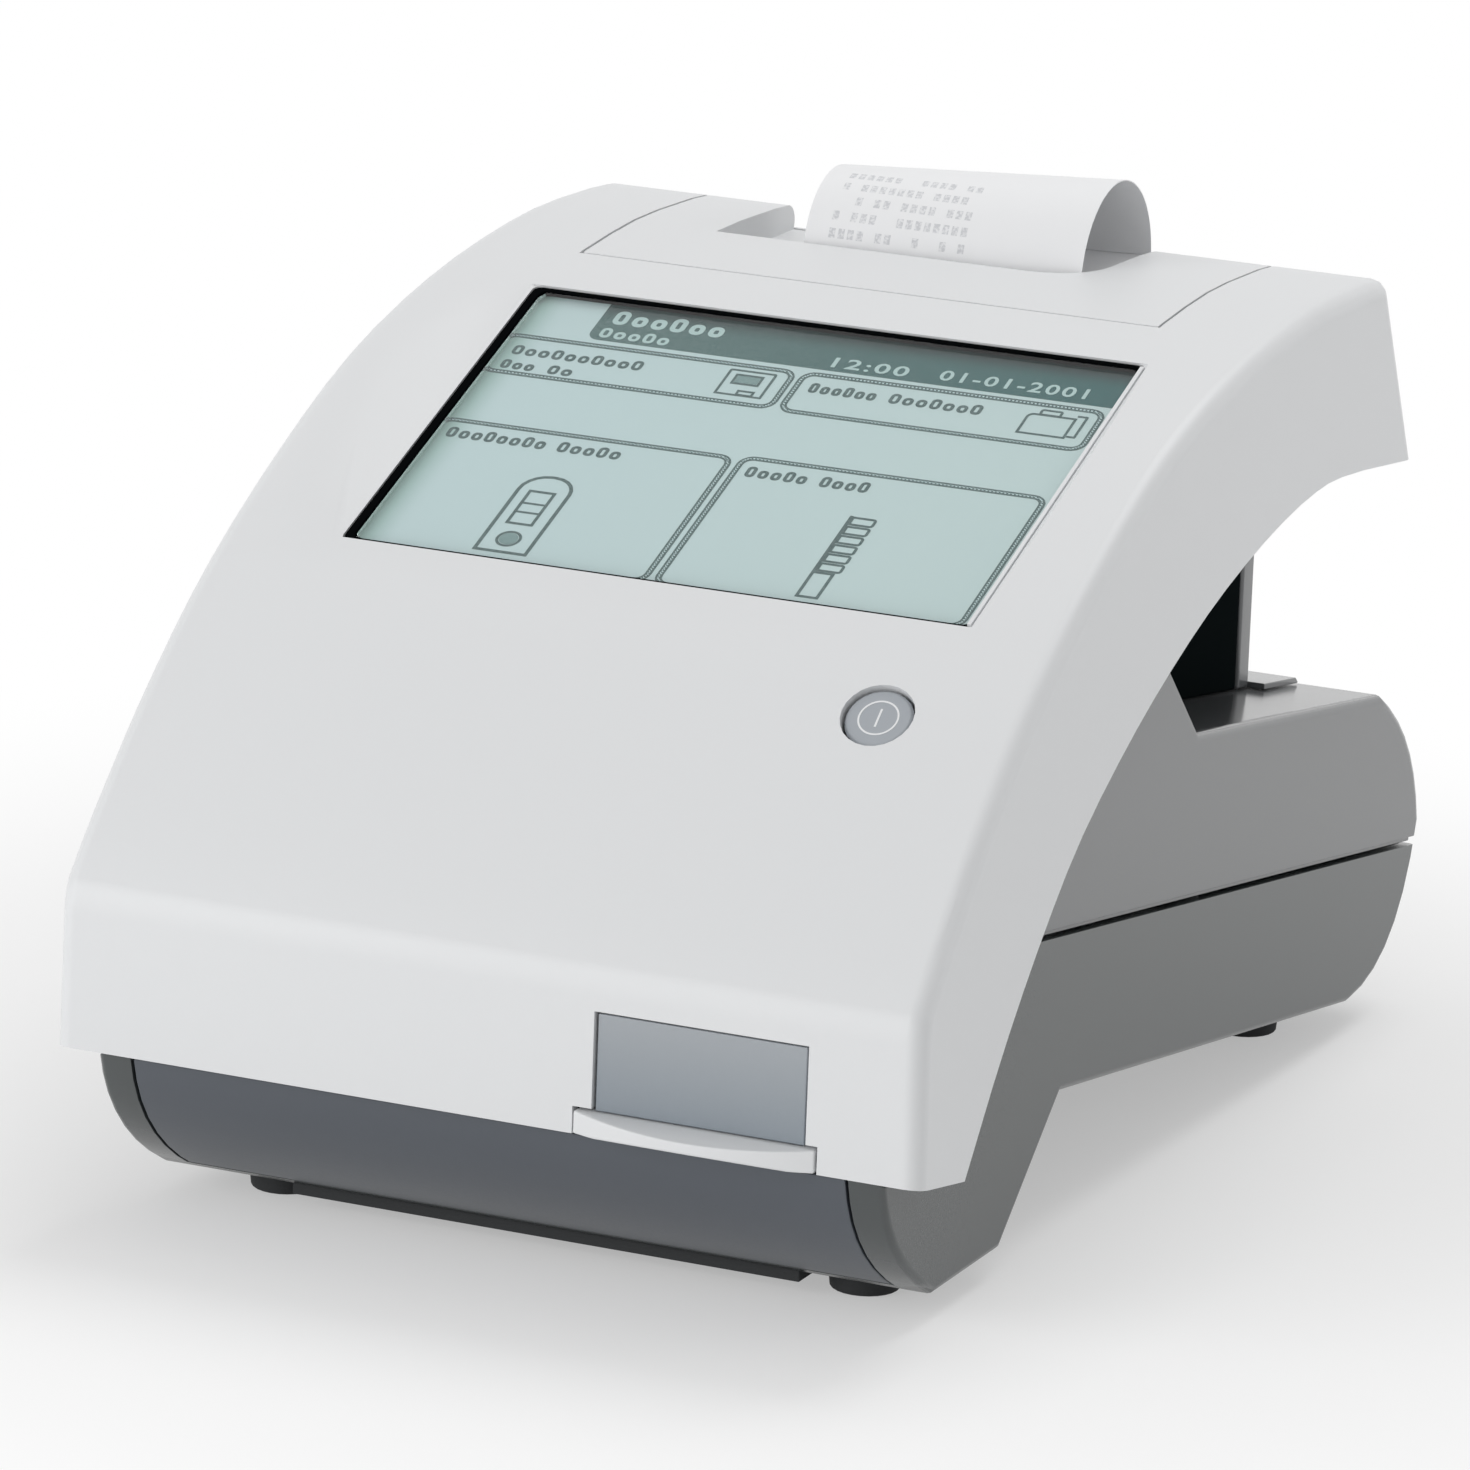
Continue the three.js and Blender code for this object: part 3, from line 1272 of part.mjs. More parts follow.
const plateTop = plateLow + plateThickness;
const pinionX = rackTip + driveModule * addendumShare - driveModule * driveTeeth / 2;

function chassisPlate() {
  const plate = roundedBlock(-plateLeft, plateRight, plateFront, plateRear, plateLow, plateTop, screwBossRadius);
  const opening = roundedBlock(-plateWindowLeft, -plateWindowRight, plateWindowFront, plateWindowRear,
    plateLow - overrun, plateTop + overrun, screwBossRadius);
  const shaftHole = rodZ(pinionX, pinionDepth, plateLow - overrun, plateTop + overrun,
    motorShaftRadius + slideGap);
  const bossRoom = screwPlaces.map(([x, y]) => rodZ(x, y, plateLow - overrun, plateTop + overrun,
    screwBossRadius + seatGap));
  return cut(plate, opening, shaftHole, ...bossRoom);
}

function driveMotor() {
  const top = plateLow - seatGap;
  const can = rodZ(pinionX, pinionDepth, top - motorHeight, top - motorFlange, motorRadius, fineFacets);
  const flange = block(pinionX - motorFlangeReach, pinionX + motorFlangeReach, pinionDepth - motorFlangeHalf,
    pinionDepth + motorFlangeHalf, top - motorFlange, top);
  const bore = rodZ(pinionX, pinionDepth, top - motorHeight / 2, top + overrun, motorShaftRadius + seatGap);
  return cut(join(can, flange), bore);
}

function drivePinion() {
  const gear = solid(slabZ(gearShape(driveTeeth, driveModule), tableLow, tableLow + gearHeight),
    new THREE.Matrix4().makeTranslation(pinionX, pinionDepth, 0));
  return join(gear, rodZ(pinionX, pinionDepth, plateLow - motorHeight / 2 + seatGap, tableLow, motorShaftRadius));
}

// The rail's groove, with the runner's clearance, on one side of the table
function runnerSpace(side, gap) {
  const wall = tableX + side * tableWidth / 2;
  return inOrder(wall, wall + side * (runnerOut + gap));
}

function guideRail(side) {
  const wall = tableX + side * tableWidth / 2;
  const face = wall + side * seatGap;
  const groove = wall + side * (runnerOut + seatGap);
  const back = groove + side * railThickness;
  const [b0, b1] = inOrder(face, back);
  const [g0, g1] = inOrder(face - side * overrun, groove);
  const bar = block(b0, b1, railFront, railRear, railLow, railHigh);
  const channel = block(g0, g1, railFront - overrun, railRear + overrun, runnerLow - seatGap, runnerHigh + seatGap);
  const low = plateTop + seatGap;
  if (side > 0) {
    const web = block(groove, back, plateFront + seatGap, railRear, low, railLow + railThickness);
    return cut(join(bar, web), channel);
  }
  const shelf = block(railLegX, groove, railFront, railRear, railLow, railLow + railThickness);
  const legs = [[plateFront + seatGap, plateFront + seatGap], [railBridgeRear, railRear]].map(([y0, y1]) => block(
    railLegX, railLegX + railLegWidth, y0, y1 + seatGap, low, railLow + railThickness));
  return cut(join(bar, shelf, legs[1]), channel);
}

add('chassis_plate', chassisPlate(), 'steel');
add('drive_motor', driveMotor(), 'motorSteel');
add('drive_pinion', drivePinion(), 'gear');
add('guide_rail_left', guideRail(-1), 'blackPlastic');
add('guide_rail_right', guideRail(1), 'blackPlastic');

// Test table with its bowed lip, grey front panel, insert and rack

function tableLip() {
  const x0 = notchLeft + slideGap;
  const x1 = notchRight - slideGap;
  const bow = new THREE.QuadraticBezierCurve(new THREE.Vector2(x0, -lipEndOut),
    new THREE.Vector2((x0 + x1) / 2, -lipEndOut - 2 * lipBow), new THREE.Vector2(x1, -lipEndOut));
  const plan = new THREE.Shape(bow.getPoints(2 * curveSteps));
  plan.lineTo(x1, lipRear);
  plan.lineTo(x0, lipRear);
  const body = solid(slabZ(plan, lipLow, lipHigh));
  const reach = lipEndOut + lipBow;
  const section = [[-reach + lipUndercut, lipLow], [lipRear, lipLow], [lipRear, lipHigh], [0, lipHigh],
    [-reach, lipCrest + seatGap], [-reach - overrun, lipCrest]];
  return body.intersect(solid(slabX(section, x0, x1)));
}

function testTable() {
  const left = tableX - tableWidth / 2;
  const right = tableX + tableWidth / 2;
  const tray = roundedBlock(left, right, tableFront, tableRear, tableLow, tableHigh, tableWall);
  const hollow = block(left + tableWall, right - tableWall, tableFront + lipRear, tableRear - tableWall,
    tableLow + tableFloor, tableHigh + overrun);
  const panelRoom = block(left - overrun, right + overrun, -overrun, panelSunk + panelThickness + seatGap,
    lipHigh, tableHigh + overrun);
  const frontDip = block(left + tableWall, right - tableWall, 0, tableFront + lipRear + overrun, lipHigh,
    tableHigh + overrun);
  const runners = [-1, 1].map((side) => {
    const [x0, x1] = runnerSpace(side, 0);
    return block(x0, x1, tableFront + lipRear, tableRear - tableWall, runnerLow, runnerHigh);
  });
  return cut(join(tray, tableLip(), ...runners), hollow, panelRoom, frontDip);
}

function frontPanel() {
  return block(windowLeft + panelGap, windowRight - panelGap, panelSunk, panelSunk + panelThickness,
    lipHigh + seatGap, panelTop);
}

function tableInsert() {
  const left = tableX - tableWidth / 2 + tableWall + seatGap;
  const right = tableX + tableWidth / 2 - tableWall - seatGap;
  const body = roundedBlock(left, right, tableFront + lipRear + seatGap, insertRear, tableLow + tableFloor + seatGap,
    insertHigh, tableWall);
  const start = tableFront + lipRear + stripChannelWidth;
  const strip = roundedBlock(stripChannelX - stripChannelWidth / 2, stripChannelX + stripChannelWidth / 2, start,
    start + stripChannelLength, insertHigh - stripChannelDepth, insertHigh + overrun, stripChannelWidth / 2.2);
  const card = roundedBlock(cardChannelX - cardChannelWidth / 2, cardChannelX + cardChannelWidth / 2, start,
    start + stripChannelLength, insertHigh - stripChannelDepth, insertHigh + overrun, stripChannelWidth / 2.2);
  return cut(body, strip, card);
}

function calibrationBar() {
  const inset = tableWidth / 2 - tableWall - calibrationInset;
  return block(tableX - inset, tableX + inset, calibrationFront, calibrationFront + calibrationLength,
    tableLow + tableFloor + seatGap, calibrationHigh);
}

function tableRack() {
  const pitch = Math.PI * driveModule;
  const line = rackTip + driveModule * addendumShare;
  const root = line + driveModule * dedendumShare;
  const count = Math.floor((tableRear - tableWall - rackFront) / pitch);
  const first = pinionDepth - pitch * Math.floor((pinionDepth - rackFront) / pitch) - pitch / 2;
  const flank = [[root, -0.5 + tipShare], [rackTip, -tipShare / 2], [rackTip, tipShare / 2],
    [root, 0.5 - tipShare]];
  const shape = new THREE.Shape();
  shape.moveTo(rackBack, first - pitch / 2);
  for (let i = 0; i < count; i += 1) {
    for (const [x, share] of flank) shape.lineTo(x, first + pitch * (i + share));
  }
  shape.lineTo(rackBack, first + pitch * (count - 0.5));
  return solid(slabZ(shape, tableLow, tableLow + gearHeight));
}

add('test_table', testTable(), 'whiteShell');
add('table_front_panel', frontPanel(), 'panelGrey');
add('table_insert', tableInsert(), 'insert');
add('calibration_bar', calibrationBar(), 'whiteShell');
add('table_rack', tableRack(), 'gear');

// Read head over the table

function readHeadHousing() {
  const box = block(headBoxLeft, headBoxRight, headBoxFront, headBoxRear, headBoxLow, headBoxHigh);
  const hollow = block(headBoxLeft + headBoxWall, headBoxRight - headBoxWall, headBoxFront + headBoxWall,
    headBoxRear - headBoxWall, headBoxLow + headBoxWall, headBoxHigh + overrun);
  const sight = block(headBoxLeft + lensMargin, headBoxRight - lensMargin, headBoxFront + lensMargin,
    headBoxRear - lensMargin, headBoxLow - overrun, headBoxLow + overrun);
  const bridge = block(headLegLeft, headLegRight, headBoxFront, headBoxRear, headBoxLow, headBoxLow + headBoxWall);
  const low = plateTop + seatGap;
  const legs = [headLegLeft, headLegRight - headLeg].map((x) => block(x, x + headLeg, headBoxFront, headBoxRear,
    low, headBoxLow + headBoxWall));
  const shelf = block(headBoxLeft + headBoxWall, headBoxRear, headBoxFront + headBoxWall,
    headBoxFront + headBoxWall + opticBoardInset, headBoxLow, ledBoardHeight - seatGap).intersect(box);
  return cut(join(cut(box, hollow), bridge, ...legs, shelf), sight);
}

function readHeadLens() {
  const margin = lensMargin + seatGap;
  return block(headBoxLeft + margin, headBoxRight - margin, headBoxFront + margin, headBoxRear - margin,
    headBoxLow + seatGap, headBoxLow + headBoxWall);
}

function opticsBoard(z, inset) {
  return block(headBoxLeft + inset, headBoxRight - inset, headBoxFront + inset, headBoxRear - inset, z,
    z + opticBoard);
}

function ledBoard() {
  const inset = headBoxWall + seatGap;
  const board = opticsBoard(ledBoardHeight, inset);
  const span = headBoxRight - headBoxLeft - 2 * (inset + opticBoardInset);
  const middle = (headBoxFront + headBoxRear) / 2;
  const leds = [];
  for (let i = 0; i < ledCount; i += 1) {
    const x = headBoxLeft + inset + opticBoardInset + span * i / (ledCount - 1);
    leds.push(rodZ(x, middle, ledBoardHeight - ledLength, ledBoardHeight, ledRadius));
  }
  return join(board, ...leds);
}

function sensorBoard() {
  const board = opticsBoard(headBoxHigh + seatGap, seatGap);
  const sensor = block(tableX - opticBoardInset, tableX + opticBoardInset, headBoxFront + lensMargin,
    headBoxRear - lensMargin, headBoxHigh + seatGap + opticBoard, headBoxHigh + seatGap + opticBoard + chipHeight);
  return join(board, sensor);
}

add('read_head_housing', readHeadHousing(), 'blackPlastic');
add('read_head_lens', readHeadLens(), 'glass');
add('led_board', ledBoard(), 'board');
add('sensor_board', sensorBoard(), 'board');

// Main board, ports and batteries

function mainBoard() {
  const board = block(-boardHalfWidth, boardHalfWidth, boardFront, boardRear, boardLow, boardLow + boardThickness);
  const length = boardRear - boardFront;
  const chips = chipShares.map(([x, y, w, l]) => block((x - w / 2) * boardHalfWidth, (x + w / 2) * boardHalfWidth,
    boardFront + (y - l / 2) * length, boardFront + (y + l / 2) * length, boardLow + boardThickness,
    boardLow + boardThickness + chipHeight));
  return join(board, ...chips);
}

const connectorLow = boardLow + boardThickness + seatGap;
const connectorBack = boardRear - connectorReach;
const panelBack = portFaceDepth - seatGap - portPanelThickness;

function portPanel() {
  const panel = block(-portHalfWidth - portWall, portHalfWidth + portWall, panelBack, portFaceDepth - seatGap,
    portLow - portWall, portHigh + portWall);
  const inlet = block(inletX - inletHalf - seatGap, inletX + inletHalf + seatGap, panelBack - overrun,
    portFaceDepth + overrun, connectorLow - seatGap, inletHigh + seatGap);
  const serial = block(serialX - serialHalfTop - seatGap, serialX + serialHalfTop + seatGap, panelBack - overrun,
    portFaceDepth + overrun, serialHeight - serialHalfHeight - seatGap, serialHeight + serialHalfHeight + seatGap);
  const card = block(cardX - cardHalf - seatGap, cardX + cardHalf + seatGap, panelBack - overrun,
    portFaceDepth + overrun, connectorLow - seatGap, connectorLow + cardBodyHeight + seatGap);
  return cut(panel, inlet, serial, card);
}

function powerInlet() {
  const height = (connectorLow + inletHigh) / 2;
  const body = block(inletX - inletHalf, inletX + inletHalf, connectorBack, portFaceDepth, connectorLow, inletHigh);
  const bore = rodY(inletX, portFaceDepth - inletDepth, portFaceDepth + overrun, height, inletBoreRadius,
    roundFacets);
  const pin = rodY(inletX, portFaceDepth - inletDepth - seatGap, portFaceDepth - seatGap, height, inletPinRadius);
  return join(cut(body, bore), pin);
}

function serialShape(shrink) {
  const top = serialHalfTop - shrink;
  const low = serialHalfLow - shrink;
  const high = serialHalfHeight - shrink;
  return toShape([[serialX - low, serialHeight - high], [serialX + low, serialHeight - high],
    [serialX + top, serialHeight + high], [serialX - top, serialHeight + high]]);
}

function serialPort() {
  const face = portFaceDepth - seatGap;
  const shell = cut(solid(slabY(serialShape(0), face, face + serialReach)),
    solid(slabY(serialShape(serialShell), face, face + serialReach + overrun)));
  const body = solid(slabY(serialShape(0), connectorBack, face));
  const foot = block(serialX - serialHalfLow, serialX + serialHalfLow, connectorBack, panelBack - seatGap,
    connectorLow, serialHeight);
  const pins = [];
  for (const [count, row] of [[5, 0.5], [4, -0.5]]) {
    for (let i = 0; i < count; i += 1) {
      const x = serialX + (i - (count - 1) / 2) * serialPinPitch;
      pins.push(rodY(x, face - seatGap, face + serialReach - 2 * serialShell, serialHeight + row * serialRowPitch,
        serialPinRadius, 8));
    }
  }
  return join(body, shell, foot, ...pins);
}

function cardSocket() {
  const body = block(cardX - cardHalf, cardX + cardHalf, connectorBack, portFaceDepth, connectorLow,
    connectorLow + cardBodyHeight);
  const middle = connectorLow + cardBodyHeight / 2;
  const slot = block(cardX - cardSlotHalf, cardX + cardSlotHalf, connectorBack + connectorReach / 2,
    portFaceDepth + overrun, middle - cardSlotHeight / 2, middle + cardSlotHeight / 2);
  return cut(body, slot);
}

add('main_board', mainBoard(), 'board');
add('rear_port_panel', portPanel(), 'darkShell');
add('power_inlet', powerInlet(), 'blackPlastic');
add('serial_port', serialPort(), 'steel');
add('card_socket', cardSocket(), 'blackPlastic');

// Battery bay, in the frame of the sloping sole

const trayGroup = framedGroup(trayFrame);

function batteryTray() {
  const outer = block(-trayHalfWidth, trayHalfWidth, -trayHalfLength, trayHalfLength, trayRise,
    trayRise + trayHeight);
  const inner = block(-trayHalfWidth + trayWall, trayHalfWidth - trayWall, -trayHalfLength + trayWall,
    trayHalfLength - trayWall, trayRise - overrun, trayRise + trayHeight - trayWall);
  return cut(outer, inner);
}

function batteryPack() {
  const cells = [];
  const pitch = 2 * cellRadius - cellWeld;
  const height = trayRise + trayHeight - trayWall - seatGap - cellRadius;
  for (let row = 0; row < cellRows; row += 1) {
    for (let column = 0; column < cellColumns; column += 1) {
      const y = (row - (cellRows - 1) / 2) * pitch;
      const x = (column - cellColumns / 2) * (cellLength + cellTip);
      cells.push(rodX(x, x + cellLength, y, height, cellRadius, cellFacets));
      cells.push(rodX(x + cellLength, x + cellLength + cellTip, y, height, cellTipRadius, smallFacets));
    }
  }
  return join(...cells);
}

function batteryCover() {
  const plate = block(-batteryCoverHalfWidth, batteryCoverHalfWidth, -batteryCoverHalfLength,
    batteryCoverHalfLength, 0, batteryCoverThickness);
  const grips = [];
  for (let i = 0; i < batteryGripCount; i += 1) {
    const y = batteryCoverHalfLength - (i + 2) * batteryGripPitch;
    grips.push(block(-batteryGripHalf, batteryGripHalf, y, y + batteryGripPitch / 2, -overrun, batteryGrip));
  }
  return cut(plate, ...grips);
}

add('battery_tray', batteryTray(), 'blackPlastic', trayGroup);
add('battery_pack', batteryPack(), 'cell', trayGroup);
add('battery_cover', batteryCover(), 'lowerShell', trayGroup);

const frontReach = lipEndOut + lipBow;
analyzer.position.y = (frontReach - baseDepth) / 2;
analyzer.position.z = standRise;
const part = new THREE.Group();
part.add(analyzer);

export default part;
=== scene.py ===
import json
from math import radians

import bpy
from mathutils import Matrix, Vector

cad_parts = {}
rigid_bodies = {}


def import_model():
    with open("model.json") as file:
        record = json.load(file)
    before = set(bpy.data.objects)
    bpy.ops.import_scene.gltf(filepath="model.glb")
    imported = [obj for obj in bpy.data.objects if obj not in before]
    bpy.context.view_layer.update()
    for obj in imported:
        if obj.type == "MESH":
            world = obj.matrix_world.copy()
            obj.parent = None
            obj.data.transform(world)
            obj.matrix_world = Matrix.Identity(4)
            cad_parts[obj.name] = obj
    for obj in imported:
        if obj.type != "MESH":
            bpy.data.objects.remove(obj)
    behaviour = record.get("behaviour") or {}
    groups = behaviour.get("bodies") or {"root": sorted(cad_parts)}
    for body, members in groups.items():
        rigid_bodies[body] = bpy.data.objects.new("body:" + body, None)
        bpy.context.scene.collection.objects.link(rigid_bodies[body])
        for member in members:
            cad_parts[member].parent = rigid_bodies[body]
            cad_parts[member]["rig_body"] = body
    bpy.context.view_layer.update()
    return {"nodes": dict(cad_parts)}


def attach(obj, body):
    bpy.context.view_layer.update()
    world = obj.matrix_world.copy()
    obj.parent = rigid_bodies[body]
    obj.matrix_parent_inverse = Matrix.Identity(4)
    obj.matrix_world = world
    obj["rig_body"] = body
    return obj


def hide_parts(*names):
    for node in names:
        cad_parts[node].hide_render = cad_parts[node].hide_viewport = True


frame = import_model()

mm = 0.001
mergeReach = 0.002 * mm
print("frame loaded:", len(frame["nodes"]), "nodes")


# small helpers

def clearPicks():
    if bpy.context.object and bpy.context.object.mode != "OBJECT":
        bpy.ops.object.mode_set(mode="OBJECT")
    bpy.ops.object.select_all(action="DESELECT")


def pickOnly(piece):
    clearPicks()
    piece.select_set(True)
    bpy.context.view_layer.objects.active = piece


def editPiece(piece, kind="VERT"):
    pickOnly(piece)
    bpy.ops.object.mode_set(mode="EDIT")
    bpy.ops.mesh.select_mode(type=kind)
    bpy.ops.mesh.select_all(action="DESELECT")


def pickPoints(piece, wanted):
    bpy.ops.object.mode_set(mode="OBJECT")
    for face in piece.data.polygons:
        face.select = False
    for edge in piece.data.edges:
        edge.select = False
    for point in piece.data.vertices:
        point.select = wanted(point.co)
    bpy.ops.object.mode_set(mode="EDIT")


def leaveEdit():
    bpy.ops.object.mode_set(mode="OBJECT")


def applyPlace(piece):
    pickOnly(piece)
    bpy.ops.object.transform_apply(location=True, rotation=True, scale=True)


def applyModifier(piece, modifier):
    pickOnly(piece)
    bpy.ops.object.modifier_apply(modifier=modifier.name)


def joinPieces(pieces, name):
    clearPicks()
    for piece in pieces:
        piece.select_set(True)
    bpy.context.view_layer.objects.active = pieces[0]
    if len(pieces) > 1:
        bpy.ops.object.join()
    joined = bpy.context.object
    joined.name = name
    return joined


def dress(piece, material, bodyName):
    piece.data.materials.clear()
    piece.data.materials.append(material)
    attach(piece, bodyName)


# shared effects as node groups

def newGroup(name, inputs, outputs):
    group = bpy.data.node_groups.new(name, "ShaderNodeTree")
    for socket, kind, start in inputs:
        made = group.interface.new_socket(name=socket, in_out="INPUT", socket_type=kind)
        made.default_value = start
    for socket, kind in outputs:
        group.interface.new_socket(name=socket, in_out="OUTPUT", socket_type=kind)
    inside = group.nodes.new("NodeGroupInput")
    outside = group.nodes.new("NodeGroupOutput")
    return group, inside, outside


def mathNode(tree, operation, a, b=None):
    node = tree.nodes.new("ShaderNodeMath")
    node.operation = operation
    for socket, value in zip(node.inputs, (a, b)):
        if value is None:
            continue
        if isinstance(value, (int, float)):
            socket.default_value = value
        else:
            tree.links.new(value, socket)
    return node.outputs[0]


def colourMix(tree, factor, a, b, kind="MIX"):
    node = tree.nodes.new("ShaderNodeMix")
    node.data_type = "RGBA"
    node.blend_type = kind
    for socket, value in ((node.inputs[0], factor), (node.inputs[6], a), (node.inputs[7], b)):
        if isinstance(value, (int, float)):
            socket.default_value = value
        elif isinstance(value, tuple):
            socket.default_value = (*value, 1)
        else:
            tree.links.new(value, socket)
    return node.outputs[2]


def rangeNode(tree, value, low, high, toLow, toHigh, smooth=False):
    node = tree.nodes.new("ShaderNodeMapRange")
    node.interpolation_type = "SMOOTHSTEP" if smooth else "LINEAR"
    tree.links.new(value, node.inputs["Value"])
    for socket, number in (("From Min", low), ("From Max", high), ("To Min", toLow), ("To Max", toHigh)):
        node.inputs[socket].default_value = number
    return node.outputs["Result"]


def between(tree, value, low, high):
    return mathNode(tree, "MULTIPLY", mathNode(tree, "GREATER_THAN", value, low),
                    mathNode(tree, "LESS_THAN", value, high))


def noiseNode(tree, where, scale, detail=2.0, rough=0.5):
    node = tree.nodes.new("ShaderNodeTexNoise")
    tree.links.new(where, node.inputs["Vector"])
    node.inputs["Detail"].default_value = detail
    node.inputs["Roughness"].default_value = rough
    if isinstance(scale, (int, float)):
        node.inputs["Scale"].default_value = scale
    else:
        tree.links.new(scale, node.inputs["Scale"])
    return node.outputs["Fac"]


def objectPlace(tree, stretch=(1, 1, 1)):
    place = tree.nodes.new("ShaderNodeTexCoord").outputs["Object"]
    mapping = tree.nodes.new("ShaderNodeMapping")
    mapping.inputs["Scale"].default_value = stretch
    tree.links.new(place, mapping.inputs["Vector"])
    return mapping.outputs["Vector"]


def splitXyz(tree, vector):
    node = tree.nodes.new("ShaderNodeSeparateXYZ")
    tree.links.new(vector, node.inputs[0])
    return node.outputs


def swing(tree, noise, spread):
    # the noise round its middle value, times the spread
    return mathNode(tree, "MULTIPLY", mathNode(tree, "SUBTRACT", noise, 0.5), spread)


def scaleColour(tree, colour, level):
    scaled = tree.nodes.new("ShaderNodeVectorMath")
    scaled.operation = "SCALE"
    tree.links.new(colour, scaled.inputs[0])
    tree.links.new(level, scaled.inputs["Scale"])
    return scaled.outputs[0]


mouldedNoise = {"broad": 11.0, "broadDetail": 3.0, "fineDetail": 2.0, "fineRough": 0.6}


def makeMouldedGrain():
    group, inside, outside = newGroup("mouldedGrain", [
        ("Colour", "NodeSocketColor", (0.7, 0.7, 0.7, 1)), ("Tone Spread", "NodeSocketFloat", 0.02),
        ("Roughness", "NodeSocketFloat", 0.45), ("Gloss Spread", "NodeSocketFloat", 0.05),
        ("Grain Scale", "NodeSocketFloat", 1800.0)],
        [("Colour", "NodeSocketColor"), ("Roughness", "NodeSocketFloat"), ("Height", "NodeSocketFloat")])
    where = objectPlace(group)
    broad = noiseNode(group, where, mouldedNoise["broad"], mouldedNoise["broadDetail"])
    fine = noiseNode(group, where, inside.outputs["Grain Scale"], mouldedNoise["fineDetail"],
                     mouldedNoise["fineRough"])
    tone = swing(group, broad, inside.outputs["Tone Spread"])
    speck = swing(group, fine, inside.outputs["Tone Spread"])
    level = mathNode(group, "ADD", mathNode(group, "ADD", tone, speck), 1.0)
    group.links.new(scaleColour(group, inside.outputs["Colour"], level), outside.inputs["Colour"])
    sheen = swing(group, broad, inside.outputs["Gloss Spread"])
    speckle = swing(group, fine, inside.outputs["Gloss Spread"])
    rough = mathNode(group, "ADD", mathNode(group, "ADD", inside.outputs["Roughness"], sheen), speckle)
    group.links.new(rough, outside.inputs["Roughness"])
    group.links.new(fine, outside.inputs["Height"])
    return group


metalNoise = {"stretch": (40, 900, 900), "streak": 1.0, "streakDetail": 3.0, "streakRough": 0.6,
              "blotch": 60.0}


def makeDrawnMetal():
    group, inside, outside = newGroup("drawnMetal", [
        ("Colour", "NodeSocketColor", (0.6, 0.6, 0.6, 1)), ("Roughness", "NodeSocketFloat", 0.35),
        ("Streak", "NodeSocketFloat", 0.12)],
        [("Colour", "NodeSocketColor"), ("Roughness", "NodeSocketFloat"), ("Height", "NodeSocketFloat")])
    streaks = noiseNode(group, objectPlace(group, metalNoise["stretch"]), metalNoise["streak"],
                        metalNoise["streakDetail"], metalNoise["streakRough"])
    blotch = noiseNode(group, objectPlace(group), metalNoise["blotch"])
    both = mathNode(group, "ADD", mathNode(group, "SUBTRACT", streaks, 0.5),
                    mathNode(group, "SUBTRACT", blotch, 0.5))
    drift = mathNode(group, "MULTIPLY", both, inside.outputs["Streak"])
    level = mathNode(group, "ADD", drift, 1.0)
    group.links.new(scaleColour(group, inside.outputs["Colour"], level), outside.inputs["Colour"])
    group.links.new(mathNode(group, "ADD", inside.outputs["Roughness"], drift), outside.inputs["Roughness"])
    group.links.new(streaks, outside.inputs["Height"])
    return group


mouldedGrain = makeMouldedGrain()
drawnMetal = makeDrawnMetal()


# materials

def newMaterial(name):
    material = bpy.data.materials.new(name)
    material.use_nodes = True
    tree = material.node_tree
    return material, tree, tree.nodes["Principled BSDF"]


def placeGroup(tree, group, values):
    node = tree.nodes.new("ShaderNodeGroup")
    node.node_tree = group
    for name, value in values.items():
        node.inputs[name].default_value = (*value, 1) if isinstance(value, tuple) else value
    return node


def linkBump(tree, height, shader, distance, strength=0.5):
    bump = tree.nodes.new("ShaderNodeBump")
    bump.inputs["Distance"].default_value = distance
    bump.inputs["Strength"].default_value = strength
    tree.links.new(height, bump.inputs["Height"])
    tree.links.new(bump.outputs["Normal"], shader.inputs["Normal"])


def linkRoughness(tree, shader, where, scale, low, high):
    noise = noiseNode(tree, where, scale)
    tree.links.new(rangeNode(tree, noise, 0.0, 1.0, low, high), shader.inputs["Roughness"])


def moulded(name, colour, rough, grain=1800.0, tone=0.02, gloss=0.06, depth=0.00002, level=0.5):
    material, tree, shader = newMaterial(name)
    node = placeGroup(tree, mouldedGrain, {"Colour": colour, "Tone Spread": tone, "Roughness": rough,
                                           "Gloss Spread": gloss, "Grain Scale": grain})
    tree.links.new(node.outputs["Colour"], shader.inputs["Base Color"])
    tree.links.new(node.outputs["Roughness"], shader.inputs["Roughness"])
    linkBump(tree, node.outputs["Height"], shader, depth)
    shader.inputs["Specular IOR Level"].default_value = level
    return material


# the drawer's panel is paler towards its top edge; the darker grey towards its bottom edge is painted shade
# from the lip below
panelShadeGreys = {"low": (0.235, 0.270, 0.305), "high": (0.355, 0.38, 0.405), "from": 0.038, "to": 0.056,
              "depth": 0.00002}


